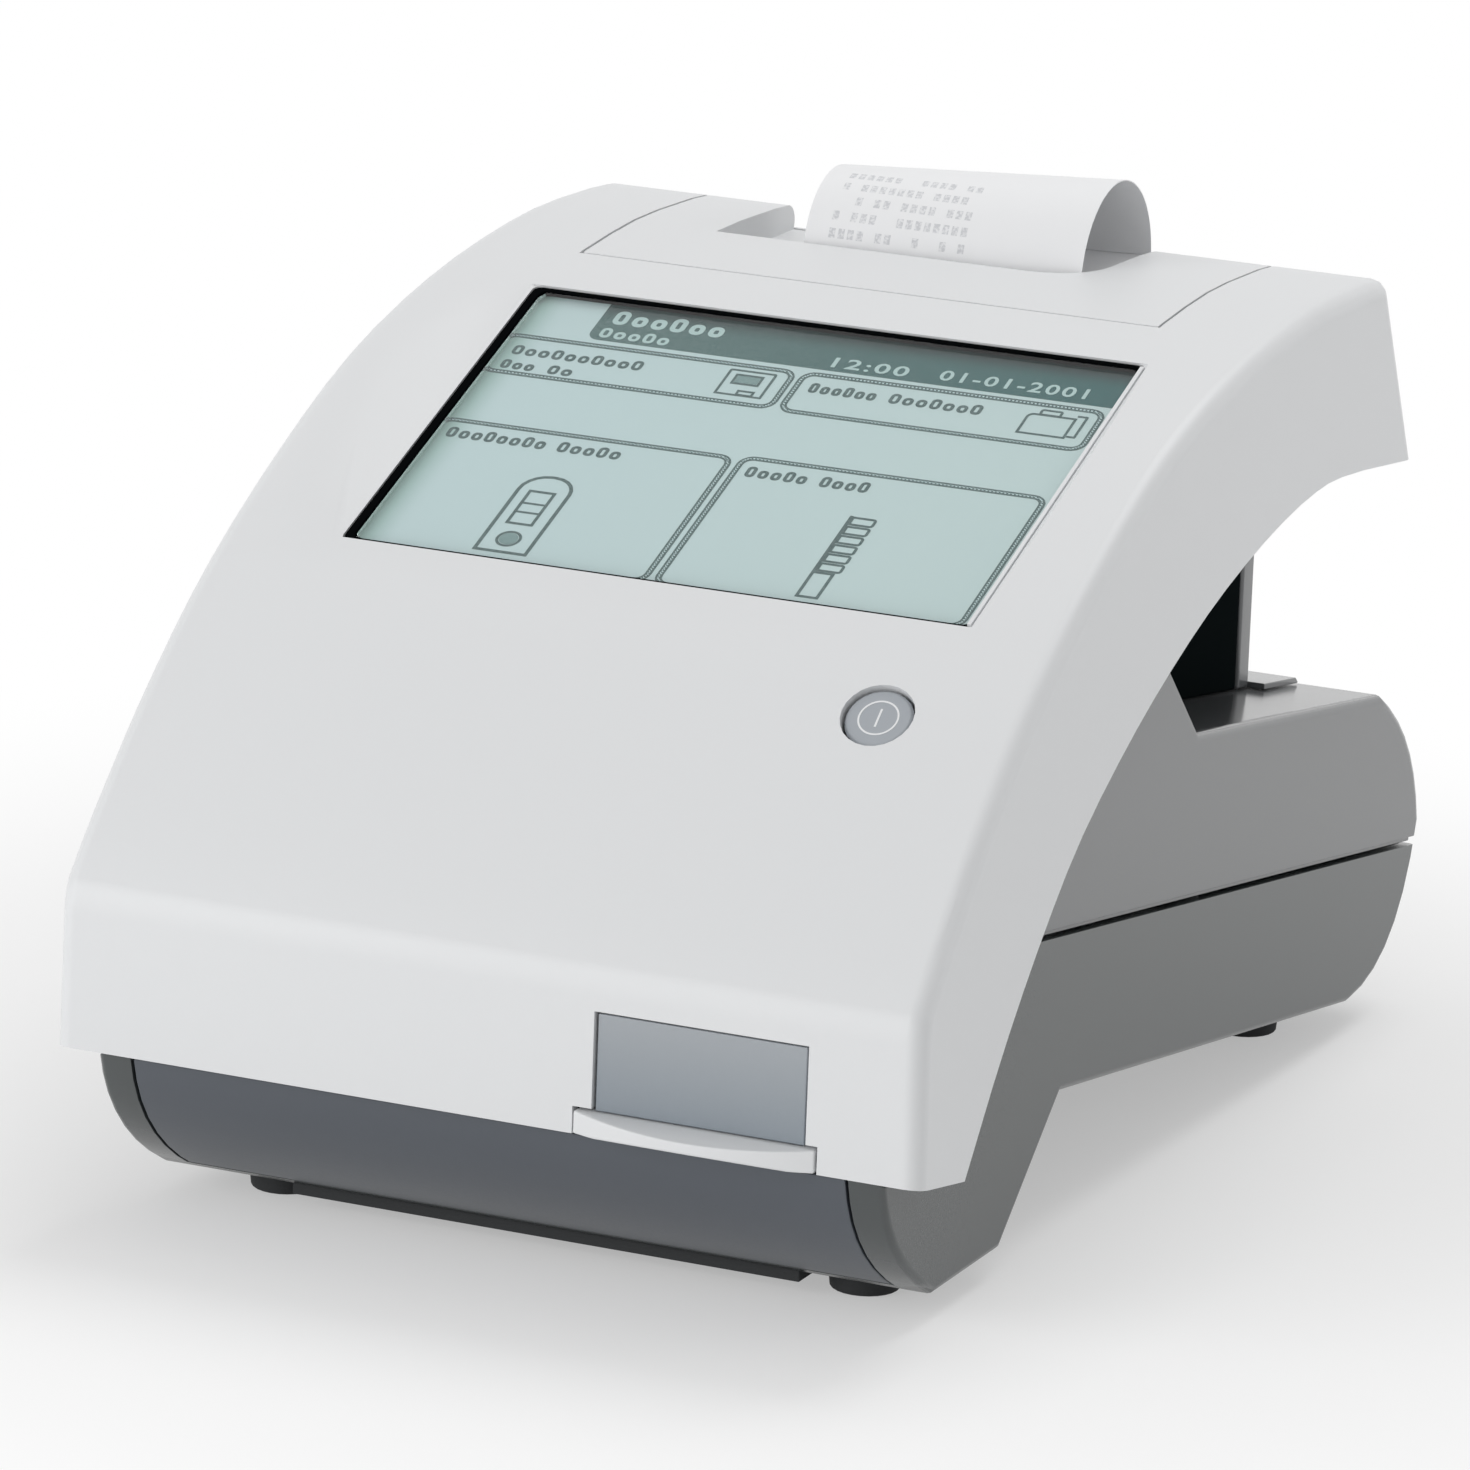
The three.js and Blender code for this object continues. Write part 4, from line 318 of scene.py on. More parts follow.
def drawerPanel(name):
    material, tree, shader = newMaterial(name)
    node = placeGroup(tree, mouldedGrain, {"Colour": (0.5, 0.5, 0.5), "Tone Spread": 0.03, "Roughness": 0.38,
                                           "Gloss Spread": 0.05, "Grain Scale": 1300.0})
    height = splitXyz(tree, tree.nodes.new("ShaderNodeTexCoord").outputs["Object"])["Z"]
    # painted shade: the grey darkens towards the panel's bottom edge, where the lip below shades it
    upper = rangeNode(tree, height, panelShadeGreys["from"], panelShadeGreys["to"], 0.0, 1.0)
    tone = colourMix(tree, upper, panelShadeGreys["low"], panelShadeGreys["high"])
    grained = colourMix(tree, 1.0, tone, node.outputs["Colour"], "MULTIPLY")
    doubled = colourMix(tree, 1.0, grained, grained, "ADD")
    tree.links.new(doubled, shader.inputs["Base Color"])
    tree.links.new(node.outputs["Roughness"], shader.inputs["Roughness"])
    linkBump(tree, node.outputs["Height"], shader, panelShadeGreys["depth"])
    return material


def metal(name, colour, rough, streak=0.14):
    material, tree, shader = newMaterial(name)
    node = placeGroup(tree, drawnMetal, {"Colour": colour, "Roughness": rough, "Streak": streak})
    tree.links.new(node.outputs["Colour"], shader.inputs["Base Color"])
    tree.links.new(node.outputs["Roughness"], shader.inputs["Roughness"])
    linkBump(tree, node.outputs["Height"], shader, 0.00001, 0.3)
    shader.inputs["Metallic"].default_value = 1.0
    return material


# solder mask with paler tracks under it
boardLook = {"mask": (0.018, 0.13, 0.062, 1), "maskToo": (0.022, 0.15, 0.072, 1),
             "track": (0.05, 0.25, 0.12, 1), "scale": 120.0, "width": 0.035, "noise": 300.0, "smooth": 0.3,
             "rough": 0.5, "depth": 0.00003}


def circuitBoard(name):
    material, tree, shader = newMaterial(name)
    where = objectPlace(tree)
    brick = tree.nodes.new("ShaderNodeTexBrick")
    tree.links.new(where, brick.inputs["Vector"])
    brick.inputs["Scale"].default_value = boardLook["scale"]
    brick.inputs["Mortar Size"].default_value = boardLook["width"]
    brick.inputs["Color1"].default_value = boardLook["mask"]
    brick.inputs["Color2"].default_value = boardLook["maskToo"]
    brick.inputs["Mortar"].default_value = boardLook["track"]
    tree.links.new(brick.outputs["Color"], shader.inputs["Base Color"])
    linkRoughness(tree, shader, where, boardLook["noise"], boardLook["smooth"], boardLook["rough"])
    linkBump(tree, brick.outputs["Fac"], shader, boardLook["depth"], 0.3)
    return material


screenPlace = {"foot": (0, -72.5 * mm, 119.3 * mm), "tilt": radians(22.2)}
buttonPlace = {"middle": (56 * mm, -91.1 * mm, 105.6 * mm), "tilt": radians(39.5)}


def screenCoords(tree):
    # object coordinates turned flat with the screen: x across, y up the screen
    where = tree.nodes.new("ShaderNodeTexCoord").outputs["Object"]
    shifted = tree.nodes.new("ShaderNodeVectorMath")
    shifted.operation = "SUBTRACT"
    tree.links.new(where, shifted.inputs[0])
    shifted.inputs[1].default_value = screenPlace["foot"]
    turned = tree.nodes.new("ShaderNodeMapping")
    turned.inputs["Rotation"].default_value = (-screenPlace["tilt"], 0, 0)
    tree.links.new(shifted.outputs[0], turned.inputs["Vector"])
    return turned.outputs["Vector"]


# reflective panel: bluer to the left, with a fine dot grid; painted shade darkens its upper part under the
# seal, and its left edge has a green glass-edge tint that runs into painted shade beside the left seal
panelTones = {"cool": (0.545, 0.665, 0.675), "warm": (0.555, 0.665, 0.66), "shade": (0.49, 0.60, 0.60),
              "edge": (0.20, 0.38, 0.31)}
panelPlaces = {"across": (-0.06, 0.065), "upper": (0.05, 0.09), "leftTintAndShade": (-0.0595, -0.0515),
               "dot": 0.000375}
panelShares = {"upper": 0.35, "grid": 0.04, "leftTintAndShade": 0.7}
screenSheen = {"panel": (900.0, 0.34, 0.42), "ink": (700.0, 0.34, 0.44), "level": 0.05}


def liquidPanel(name):
    material, tree, shader = newMaterial(name)
    where = screenCoords(tree)
    axes = splitXyz(tree, where)
    across = rangeNode(tree, axes["X"], *panelPlaces["across"], 0.0, 1.0, True)
    colour = colourMix(tree, across, panelTones["cool"], panelTones["warm"])
    # painted shade: darker towards the top, under the seal's upper bar
    upper = rangeNode(tree, axes["Y"], *panelPlaces["upper"], 0.0, panelShares["upper"], True)
    colour = colourMix(tree, upper, colour, panelTones["shade"])
    checker = tree.nodes.new("ShaderNodeTexChecker")
    checker.inputs["Scale"].default_value = 2 / panelPlaces["dot"]
    tree.links.new(where, checker.inputs["Vector"])
    grid = rangeNode(tree, checker.outputs["Fac"], 0.0, 1.0, 0.0, panelShares["grid"])
    colour = colourMix(tree, grid, colour, panelTones["shade"])
    # green glass-edge tint at the left edge, running into painted shade beside the left seal
    leftTintAndShade = rangeNode(tree, axes["X"], *panelPlaces["leftTintAndShade"], panelShares["leftTintAndShade"], 0.0, True)
    colour = colourMix(tree, leftTintAndShade, colour, panelTones["edge"])
    tree.links.new(colour, shader.inputs["Base Color"])
    linkRoughness(tree, shader, where, *screenSheen["panel"])
    shader.inputs["Specular IOR Level"].default_value = screenSheen["level"]
    return material


# the edge tone is the near-black of the painted shade under the seal's upper bar
inkTones = {"line": (0.034, 0.084, 0.081), "band": (0.044, 0.112, 0.107), "deep": (0.008, 0.092, 0.092),
            "edge": (0.002, 0.016, 0.017), "half": (0.17, 0.27, 0.265), "pale": (0.46, 0.60, 0.585)}
inkPlaces = {"deepAcross": (-0.03, 0.06), "sealShadeUp": (0.0800, 0.0862), "sealShadeAcross": (-0.045, 0.05)}
inkShares = {"mottle": 0.12, "sealShadeLeft": 0.7, "mottleNoise": 1400.0}


def screenInk(name, tone, deepenAndSealShade=0.0):
    # ink of the panel's dark cells; where asked, deeper to the right, and with painted shade from the seal's
    # upper bar darkening it towards the top edge
    material, tree, shader = newMaterial(name)
    where = screenCoords(tree)
    axes = splitXyz(tree, where)
    noise = noiseNode(tree, where, inkShares["mottleNoise"])
    mottled = rangeNode(tree, noise, 0.3, 0.7, 0.0, inkShares["mottle"])
    colour = colourMix(tree, mottled, tone, panelTones["shade"])
    if deepenAndSealShade:
        right = rangeNode(tree, axes["X"], *inkPlaces["deepAcross"], 0.0, 1.0)
        colour = colourMix(tree, right, colour, inkTones["deep"])
        # painted shade of the seal's upper bar: darkest at the top edge, weaker to the left
        high = rangeNode(tree, axes["Y"], *inkPlaces["sealShadeUp"], 0.0, 1.0, True)
        side = rangeNode(tree, axes["X"], *inkPlaces["sealShadeAcross"], inkShares["sealShadeLeft"], 1.0, True)
        edge = mathNode(tree, "MULTIPLY", mathNode(tree, "MULTIPLY", high, side), deepenAndSealShade)
        colour = colourMix(tree, edge, colour, inkTones["edge"])
    tree.links.new(colour, shader.inputs["Base Color"])
    linkRoughness(tree, shader, where, *screenSheen["ink"])
    shader.inputs["Specular IOR Level"].default_value = screenSheen["level"]
    return material


def screenDots(name):
    # every second cell dark, for the fill between the double lines
    material, tree, shader = newMaterial(name)
    where = screenCoords(tree)
    checker = tree.nodes.new("ShaderNodeTexChecker")
    checker.inputs["Scale"].default_value = 1 / panelPlaces["dot"]
    checker.inputs["Color1"].default_value = (*inkTones["line"], 1)
    checker.inputs["Color2"].default_value = (*panelTones["cool"], 1)
    tree.links.new(where, checker.inputs["Vector"])
    tree.links.new(checker.outputs["Color"], shader.inputs["Base Color"])
    linkRoughness(tree, shader, where, *screenSheen["ink"])
    shader.inputs["Specular IOR Level"].default_value = screenSheen["level"]
    return material


# shadow and diffuse rays pass the glass straight
glassLook = {"tint": (0.96, 0.985, 0.985, 1), "through": (0.95, 0.97, 0.97, 1), "bend": 1.34,
             "sheen": (500.0, 0.02, 0.05)}


def clearGlass(name):
    material, tree, shader = newMaterial(name)
    shader.inputs["Base Color"].default_value = glassLook["tint"]
    shader.inputs["Transmission Weight"].default_value = 1.0
    shader.inputs["IOR"].default_value = glassLook["bend"]
    linkRoughness(tree, shader, objectPlace(tree), *glassLook["sheen"])
    see = tree.nodes.new("ShaderNodeBsdfTransparent")
    see.inputs["Color"].default_value = glassLook["through"]
    path = tree.nodes.new("ShaderNodeLightPath")
    passing = mathNode(tree, "MAXIMUM", path.outputs["Is Shadow Ray"], path.outputs["Is Diffuse Ray"])
    mixed = tree.nodes.new("ShaderNodeMixShader")
    tree.links.new(passing, mixed.inputs[0])
    tree.links.new(shader.outputs[0], mixed.inputs[1])
    tree.links.new(see.outputs[0], mixed.inputs[2])
    tree.links.new(mixed.outputs[0], tree.nodes["Material Output"].inputs["Surface"])
    return material


curl = {"left": -24.5 * mm, "right": 32.5 * mm, "foot": 149.1 * mm, "axis": 153.5 * mm,
        "footLeft": 53.1 * mm, "footRight": 55.4 * mm, "radiusLeft": 15.5 * mm, "radiusRight": 18.1 * mm,
        "sweep": 183.0, "steps": 44, "thickness": 0.2 * mm, "pickReach": 0.2 * mm, "smooth": radians(40)}


paperLook = {"pale": (0.86, 0.865, 0.875), "dull": (0.80, 0.80, 0.82), "print": (0.42, 0.43, 0.46),
             "fibre": (2600.0, 3.0, 0.7), "mottle": 0.06, "rough": (0.55, 0.7), "depth": 0.00002}
printMarks = {"left": -20 * mm, "pitch": 1.9 * mm, "rowPitch": 3.4 * mm, "rows": 6, "letters": 15,
              "missing": 0.3, "tall": (0.25, 0.80), "wide": (0.16, 0.84), "smudge": 1900.0,
              "smudgeRange": (0.35, 0.6), "strength": (0.1, 0.55)}


def paperStock(name, printed):
    material, tree, shader = newMaterial(name)
    fibre = noiseNode(tree, objectPlace(tree), *paperLook["fibre"])
    tone = rangeNode(tree, fibre, 0.3, 0.7, 0.0, paperLook["mottle"])
    colour = colourMix(tree, tone, paperLook["pale"], paperLook["dull"])
    if printed:
        colour = addPrint(tree, colour)
    tree.links.new(colour, shader.inputs["Base Color"])
    tree.links.new(rangeNode(tree, fibre, 0.2, 0.8, *paperLook["rough"]), shader.inputs["Roughness"])
    linkBump(tree, fibre, shader, paperLook["depth"], 0.3)
    return material


def addPrint(tree, paper):
    # rows of faint marks, laid out along the curl by the angle round its axis
    axes = splitXyz(tree, tree.nodes.new("ShaderNodeTexCoord").outputs["Object"])
    middle = (curl["footLeft"] + curl["radiusLeft"] + curl["footRight"] + curl["radiusRight"]) / 2
    radius = (curl["radiusLeft"] + curl["radiusRight"]) / 2
    up = mathNode(tree, "SUBTRACT", axes["Z"], curl["axis"])
    front = mathNode(tree, "SUBTRACT", middle, axes["Y"])
    angle = mathNode(tree, "ARCTAN2", up, front)
    along = mathNode(tree, "MULTIPLY", angle, radius / printMarks["rowPitch"])
    row = mathNode(tree, "FLOOR", along)
    inRow = mathNode(tree, "FRACT", along)
    fromLeft = mathNode(tree, "SUBTRACT", axes["X"], printMarks["left"])
    across = mathNode(tree, "DIVIDE", fromLeft, printMarks["pitch"])
    letter = mathNode(tree, "FLOOR", across)
    cell = tree.nodes.new("ShaderNodeCombineXYZ")
    tree.links.new(letter, cell.inputs[0])
    tree.links.new(row, cell.inputs[1])
    chance = tree.nodes.new("ShaderNodeTexWhiteNoise")
    tree.links.new(cell.outputs[0], chance.inputs["Vector"])
    mark = mathNode(tree, "GREATER_THAN", chance.outputs["Value"], printMarks["missing"])
    inLetter = mathNode(tree, "FRACT", across)
    lastLetter = printMarks["letters"] - 0.5
    lastRow = printMarks["rows"] - 0.5
    for value, low, high in ((inRow, *printMarks["tall"]), (inLetter, *printMarks["wide"]),
                             (letter, -0.5, lastLetter), (row, -0.5, lastRow)):
        mark = mathNode(tree, "MULTIPLY", mark, between(tree, value, low, high))
    smudge = noiseNode(tree, objectPlace(tree), printMarks["smudge"], 1.0)
    strength = rangeNode(tree, smudge, *printMarks["smudgeRange"], *printMarks["strength"])
    return colourMix(tree, mathNode(tree, "MULTIPLY", mark, strength), paper, paperLook["print"])


finishes = {
    "white_shell": moulded("whiteMoulding", (0.74, 0.75, 0.76), 0.46, 1500.0, 0.012, 0.05, 0.000015),
    "dark_shell": moulded("slateMoulding", (0.068, 0.079, 0.096), 0.40, 1700.0, 0.05, 0.08, level=0.8),
    "grey_shell": moulded("greyMoulding", (0.128, 0.133, 0.138), 0.17, 1700.0, 0.04, 0.04, 0.000004, 0.8),
    "lower_shell": moulded("deepGreyMoulding", (0.063, 0.071, 0.072), 0.22, 1700.0, 0.04, 0.05, 0.000006,
                           0.7),
    "panel_grey": drawerPanel("drawerPanelGrey"),
    "button_grey": moulded("buttonGrey", (0.37, 0.395, 0.425), 0.45, 1300.0, 0.03, 0.05),
    "black_plastic": moulded("blackMoulding", (0.0065, 0.009, 0.0095), 0.85, 1700.0, 0.08, 0.06, level=0.0),
    "black_rubber": moulded("blackRubber", (0.046, 0.048, 0.050), 0.75, 900.0, 0.08, 0.08, 0.00004, 0.2),
    "seal_black": moulded("sealBlack", (0.003, 0.0035, 0.004), 0.85, 900.0, 0.1, 0.06, 0.00002, 0.0),
    "silicone": moulded("paleSilicone", (0.66, 0.64, 0.58), 0.6, 700.0, 0.03, 0.08, 0.00002, 0.4),
    "lcd_panel": liquidPanel("liquidPanel"),
    "clear_glass": clearGlass("touchGlass"),
    "bright_steel": metal("platedSteel", (0.58, 0.59, 0.60), 0.32),
    "motor_steel": metal("drawnSteel", (0.44, 0.45, 0.46), 0.38, 0.2),
    "circuit_board": circuitBoard("solderMask"),
    "gear_plastic": moulded("naturalAcetal", (0.76, 0.73, 0.64), 0.42, 900.0, 0.03, 0.06),
    "insert_white": moulded("glossWhite", (0.70, 0.71, 0.72), 0.25, 900.0, 0.015, 0.04, 0.000008),
    "paper_white": paperStock("paperStock", False),
    "core_card": moulded("coreCard", (0.42, 0.30, 0.17), 0.85, 420.0, 0.18, 0.06, 0.00006, 0.2),
    "lever_blue": moulded("leverBlue", (0.07, 0.15, 0.28), 0.4, 1300.0, 0.04, 0.06),
    "cell_wrap": moulded("cellWrap", (0.24, 0.25, 0.27), 0.3, 500.0, 0.06, 0.06, 0.00001),
}
print("materials:", len(finishes))


# finish of each CAD node

nodeFinishes = {
    "white_shell": ["top_cover", "printer_cover", "test_table"],
    "dark_shell": ["front_fascia", "rear_port_panel"],
    "grey_shell": ["base_upper_shell", "column_rear_cover", "deck_plate"],
    "lower_shell": ["base_lower_shell", "battery_cover"],
    "panel_grey": ["table_front_panel"],
    "button_grey": ["power_button"],
    "black_plastic": ["printer_bay", "upper_chassis", "support_column", "guide_rail_left", "guide_rail_right",
                      "read_head_housing", "power_inlet", "card_socket", "battery_tray"],
    # front_skid is a real strip under the front edge; its black also paints the shade that falls under that
    # edge
    "black_rubber": ["display_gasket", "platen_roller", "rubber_foot_front_left", "rubber_foot_front_right",
                     "rubber_foot_rear_left", "rubber_foot_rear_right", "front_skid"],
    "silicone": ["button_dome"],
    "lcd_panel": ["lcd_module"],
    "clear_glass": ["touch_glass", "read_head_lens"],
    "bright_steel": ["display_frame", "printer_frame", "print_head", "chassis_plate", "serial_port",
                     "base_screw_front_left", "base_screw_front_right", "base_screw_rear_left",
                     "base_screw_rear_right"],
    "motor_steel": ["printer_motor", "drive_motor"],
    "circuit_board": ["display_board", "button_board", "led_board", "sensor_board", "main_board"],
    "gear_plastic": ["platen_gear", "printer_motor_gear", "drive_pinion", "table_rack"],
    "insert_white": ["table_insert", "calibration_bar"],
    "paper_white": ["paper_strip", "paper_web", "paper_roll"],
    "core_card": ["paper_core"],
    "lever_blue": ["head_lever"],
    "cell_wrap": ["battery_pack"],
}
ownFinishes = {"display_gasket": "seal_black"}
for slotName, names in nodeFinishes.items():
    for name in names:
        node = frame["nodes"][name]
        node.data.materials.clear()
        node.data.materials.append(finishes[ownFinishes.get(name, slotName)])
print("nodes finished:", sum(len(names) for names in nodeFinishes.values()))


# moulded pieces with softened edges, over the CAD pieces

softEdges = {
    "top_cover": 0.45, "printer_cover": 0.35, "base_upper_shell": 0.4, "base_lower_shell": 0.4,
    "front_fascia": 0.35, "column_rear_cover": 0.7, "deck_plate": 0.5, "support_column": 0.5,
    "test_table": 0.3, "table_front_panel": 0.25, "display_gasket": 0.15, "power_button": 0.2,
    "rubber_foot_front_left": 0.5, "rubber_foot_front_right": 0.5, "rubber_foot_rear_left": 0.5,
    "rubber_foot_rear_right": 0.5, "front_skid": 0.3, "battery_cover": 0.3, "rear_port_panel": 0.25,
    "power_inlet": 0.25, "table_insert": 0.25, "head_lever": 0.3, "paper_roll": 0.15, "platen_roller": 0.1,
    "upper_chassis": 0.3, "printer_bay": 0.2, "read_head_housing": 0.2, "battery_tray": 0.2,
    "card_socket": 0.2,
}
softening = {"merge": 0.000004, "flat": radians(0.6), "edge": radians(40), "segments": 3,
             "smooth": radians(35)}
wideFace = {"pieces": ["base_upper_shell"], "area": 1900 * mm * mm, "rim": 0.6 * mm}


def rimWideFaces(piece):
    # a narrow rim inside each wide flat face, so that the face itself reflects as a flat one
    editPiece(piece, "FACE")
    leaveEdit()
    for face in piece.data.polygons:
        face.select = face.area > wideFace["area"]
    bpy.ops.object.mode_set(mode="EDIT")
    bpy.ops.mesh.inset(thickness=wideFace["rim"], use_individual=True)
    leaveEdit()


def softened(name, width):
    piece = bpy.data.objects.new(name + "_moulding", frame["nodes"][name].data.copy())
    bpy.context.scene.collection.objects.link(piece)
    editPiece(piece)
    bpy.ops.mesh.select_all(action="SELECT")
    bpy.ops.mesh.remove_doubles(threshold=softening["merge"])
    bpy.ops.mesh.dissolve_limited(angle_limit=softening["flat"], use_dissolve_boundaries=False)
    leaveEdit()
    if piece.data.has_custom_normals:
        bpy.ops.mesh.customdata_custom_splitnormals_clear()
    edge = piece.modifiers.new("softEdge", "BEVEL")
    edge.width = width * mm
    edge.segments = softening["segments"]
    edge.limit_method = "ANGLE"
    edge.angle_limit = softening["edge"]
    edge.use_clamp_overlap = True
    edge.miter_outer = "MITER_SHARP"
    applyModifier(piece, edge)
    if name in wideFace["pieces"]:
        rimWideFaces(piece)
    bpy.ops.object.shade_smooth_by_angle(angle=softening["smooth"])
    weighted = piece.modifiers.new("weighted", "WEIGHTED_NORMAL")
    weighted.keep_sharp = True
    applyModifier(piece, weighted)
    return piece


# the seal's right and upper bars show less than its left one, and the glass fills what they leave

screenTurn = Matrix.Rotation(-screenPlace["tilt"], 3, "X")
sealRight = {"from": 62.1, "to": 64.1, "low": 1.0, "high": 85.7, "shift": 0.65}
sealTop = {"from": 84.8, "to": 86.0, "left": -59.2, "right": 64.75, "shift": 0.7}
facingUp = 0.9
upScreen = screenTurn.inverted() @ Vector((0, sealTop["shift"] * mm, 0))


def onScreen(at):
    return screenTurn @ (at - Vector(screenPlace["foot"])) / mm


def narrowSeal(piece):
    editPiece(piece)
    pickPoints(piece, lambda at: sealTop["from"] < onScreen(at).y < sealTop["to"]
               and sealTop["left"] < onScreen(at).x < sealTop["right"])
    bpy.ops.transform.translate(value=upScreen)
    pickPoints(piece, lambda at: sealRight["from"] < onScreen(at).x < sealRight["to"]
               and sealRight["low"] < onScreen(at).y < sealRight["high"] + sealTop["shift"])
    bpy.ops.transform.translate(value=(sealRight["shift"] * mm, 0, 0))
    leaveEdit()


def touchPanel():
    # black on the glass's upper end face, under the upper bar of the seal: painted shade that keeps the top
    # of the screen dark there
    piece = bpy.data.objects.new("touch_panel", frame["nodes"]["touch_glass"].data.copy())
    bpy.context.scene.collection.objects.link(piece)
    editPiece(piece)
    pickPoints(piece, lambda at: onScreen(at).x > sealRight["from"])
    bpy.ops.transform.translate(value=(sealRight["shift"] * mm, 0, 0))
    pickPoints(piece, lambda at: onScreen(at).y > sealTop["from"])
    bpy.ops.transform.translate(value=upScreen)
    leaveEdit()
    dress(piece, finishes["clear_glass"], "housing")
    piece.data.materials.append(finishes["seal_black"])
    for face in piece.data.polygons:
        # painted shade: faces turned up the screen, the glass's upper end, take the black
        face.material_index = 1 if (screenTurn @ face.normal).y > facingUp else 0
    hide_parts("touch_glass")


touchPanel()
slotOf = {name: slotName for slotName, names in nodeFinishes.items() for name in names}
for name, width in softEdges.items():
    piece = softened(name, width)
    if name == "display_gasket":
        narrowSeal(piece)
    dress(piece, finishes[ownFinishes.get(name, slotOf[name])], frame["nodes"][name]["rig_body"])
    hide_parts(name)
print("softened pieces:", len(softEdges))


# picture on the screen, in the screen's own flat place, millimetres

ink = {"base": -2.69, "thick": 0.05, "line": 0.52, "cell": 0.42, "cornerSteps": 5, "discPoints": 28}
ink["above"] = ink["base"] + ink["thick"] + 0.01
lowerLeft, lowerRight, upperLeft, upperRight = (False, False), (True, False), (False, True), (True, True)
allCorners = (lowerLeft, lowerRight, upperLeft, upperRight)


def flatPlate(left, right, low, high, corners=None, radius=0.0, base=ink["base"]):
    clearPicks()
    place = ((left + right) / 2 * mm, (low + high) / 2 * mm, base * mm)
    bpy.ops.mesh.primitive_plane_add(size=1, location=place)
    piece = bpy.context.object
    piece.scale = ((right - left) * mm, (high - low) * mm, 1)
    applyPlace(piece)
    if radius:
        wanted = corners or allCorners
        editPiece(piece)
        pickPoints(piece, lambda at: (at.x > place[0], at.y > place[1]) in wanted)
        bpy.ops.mesh.bevel(affect="VERTICES", offset=radius * mm, segments=ink["cornerSteps"], profile=0.5)
        leaveEdit()
    return piece


def thicken(piece, thick=ink["thick"]):
    editPiece(piece, "FACE")
    bpy.ops.mesh.select_all(action="SELECT")
    bpy.ops.mesh.extrude_region_move(TRANSFORM_OT_translate={"value": (0, 0, thick * mm)})
    bpy.ops.mesh.select_all(action="SELECT")
    bpy.ops.mesh.normals_make_consistent(inside=False)
    leaveEdit()
    return piece


def openMiddle(piece, width):
    editPiece(piece, "FACE")
    bpy.ops.mesh.select_all(action="SELECT")
    bpy.ops.mesh.inset(thickness=width * mm, use_even_offset=True)
    bpy.ops.mesh.delete(type="FACE")
    leaveEdit()


def bar(left, right, low, high, corners=None, radius=0.0):
    return thicken(flatPlate(left, right, low, high, corners, radius))


def ring(left, right, low, high, width, corners=None, radius=0.0, base=ink["base"]):
    piece = flatPlate(left, right, low, high, corners, radius, base)
    openMiddle(piece, width)
    return thicken(piece)


def slope(start, end, width):
    # a straight stroke from one point to another
    a, b = Vector(start), Vector(end)
    along = b - a
    piece = flatPlate(-along.length / 2, along.length / 2, -width / 2, width / 2)
    piece.rotation_euler = (0, 0, -Vector((1, 0)).angle_signed(along))
    middle = (a + b) / 2
    piece.location = (middle.x * mm, middle.y * mm, 0)
    applyPlace(piece)
    return thicken(piece)


def disc(x, y, radius, inner=0.0, points=ink["discPoints"], base=ink["base"], thick=ink["thick"]):
    clearPicks()
    bpy.ops.mesh.primitive_circle_add(vertices=points, radius=radius * mm, fill_type="NGON",
                                      location=(x * mm, y * mm, base * mm))
    piece = bpy.context.object
    applyPlace(piece)
    if inner:
        openMiddle(piece, radius - inner)
    return thicken(piece, thick)


def layOnScreen(piece):
    piece.rotation_euler = (screenPlace["tilt"], 0, 0)
    piece.location = screenPlace["foot"]
    applyPlace(piece)


def screenPiece(pieces, name, material):
    piece = joinPieces(pieces, name)
    layOnScreen(piece)
    dress(piece, material, "housing")


lineInk = screenInk("screenLineInk", inkTones["line"])
halfInk = screenInk("screenHalfInk", inkTones["half"])
paleInk = screenInk("screenPaleInk", inkTones["pale"])
# the band ink also carries the painted shade under the seal's upper bar
bandInk = screenInk("screenBandInk", inkTones["band"], 0.95)
dotInk = screenDots("screenDotFill")

# white edge of the recess, over the seal's right bar
recessEdge = {"left": 64.4, "right": 65.12, "low": 0.7, "high": 85.9, "base": -0.66, "thick": 0.6}
edgeStrip = flatPlate(recessEdge["left"], recessEdge["right"], recessEdge["low"], recessEdge["high"],
                      base=recessEdge["base"])
edgeStrip.name = "recess_edge"
thicken(edgeStrip, recessEdge["thick"])
layOnScreen(edgeStrip)
dress(edgeStrip, finishes["white_shell"], "housing")

header = {"left": -44.2, "right": 64.6, "low": 74.3, "high": 87.0, "corner": 2.2}
headerPiece = bar(header["left"], header["right"], header["low"], header["high"], (lowerLeft,),
                  header["corner"])
screenPiece([headerPiece], "screen_header", bandInk)

# frames of two lines with dots between them
fields = {"smallLeft": (-60.2, 0.6, 59.5, 73.0), "smallRight": (1.4, 63.0, 59.3, 73.2),
          "tileLeft": (-60.2, 0.3, 1.5, 43.7), "tileRight": (1.3, 62.8, 1.5, 44.4)}
fieldCorner = 3.0
lines, dots = [], []
for left, right, low, high in fields.values():
    for step, pieces in ((0, lines), (1, dots), (2, lines)):
        inward = step * ink["cell"]
        pieces.append(ring(left + inward, right - inward, low + inward, high - inward, ink["cell"], None,
                           fieldCorner - inward))
screenPiece(lines, "screen_field_lines", lineInk)
screenPiece(dots, "screen_field_dots", dotInk)
print("screen fields:", len(fields))

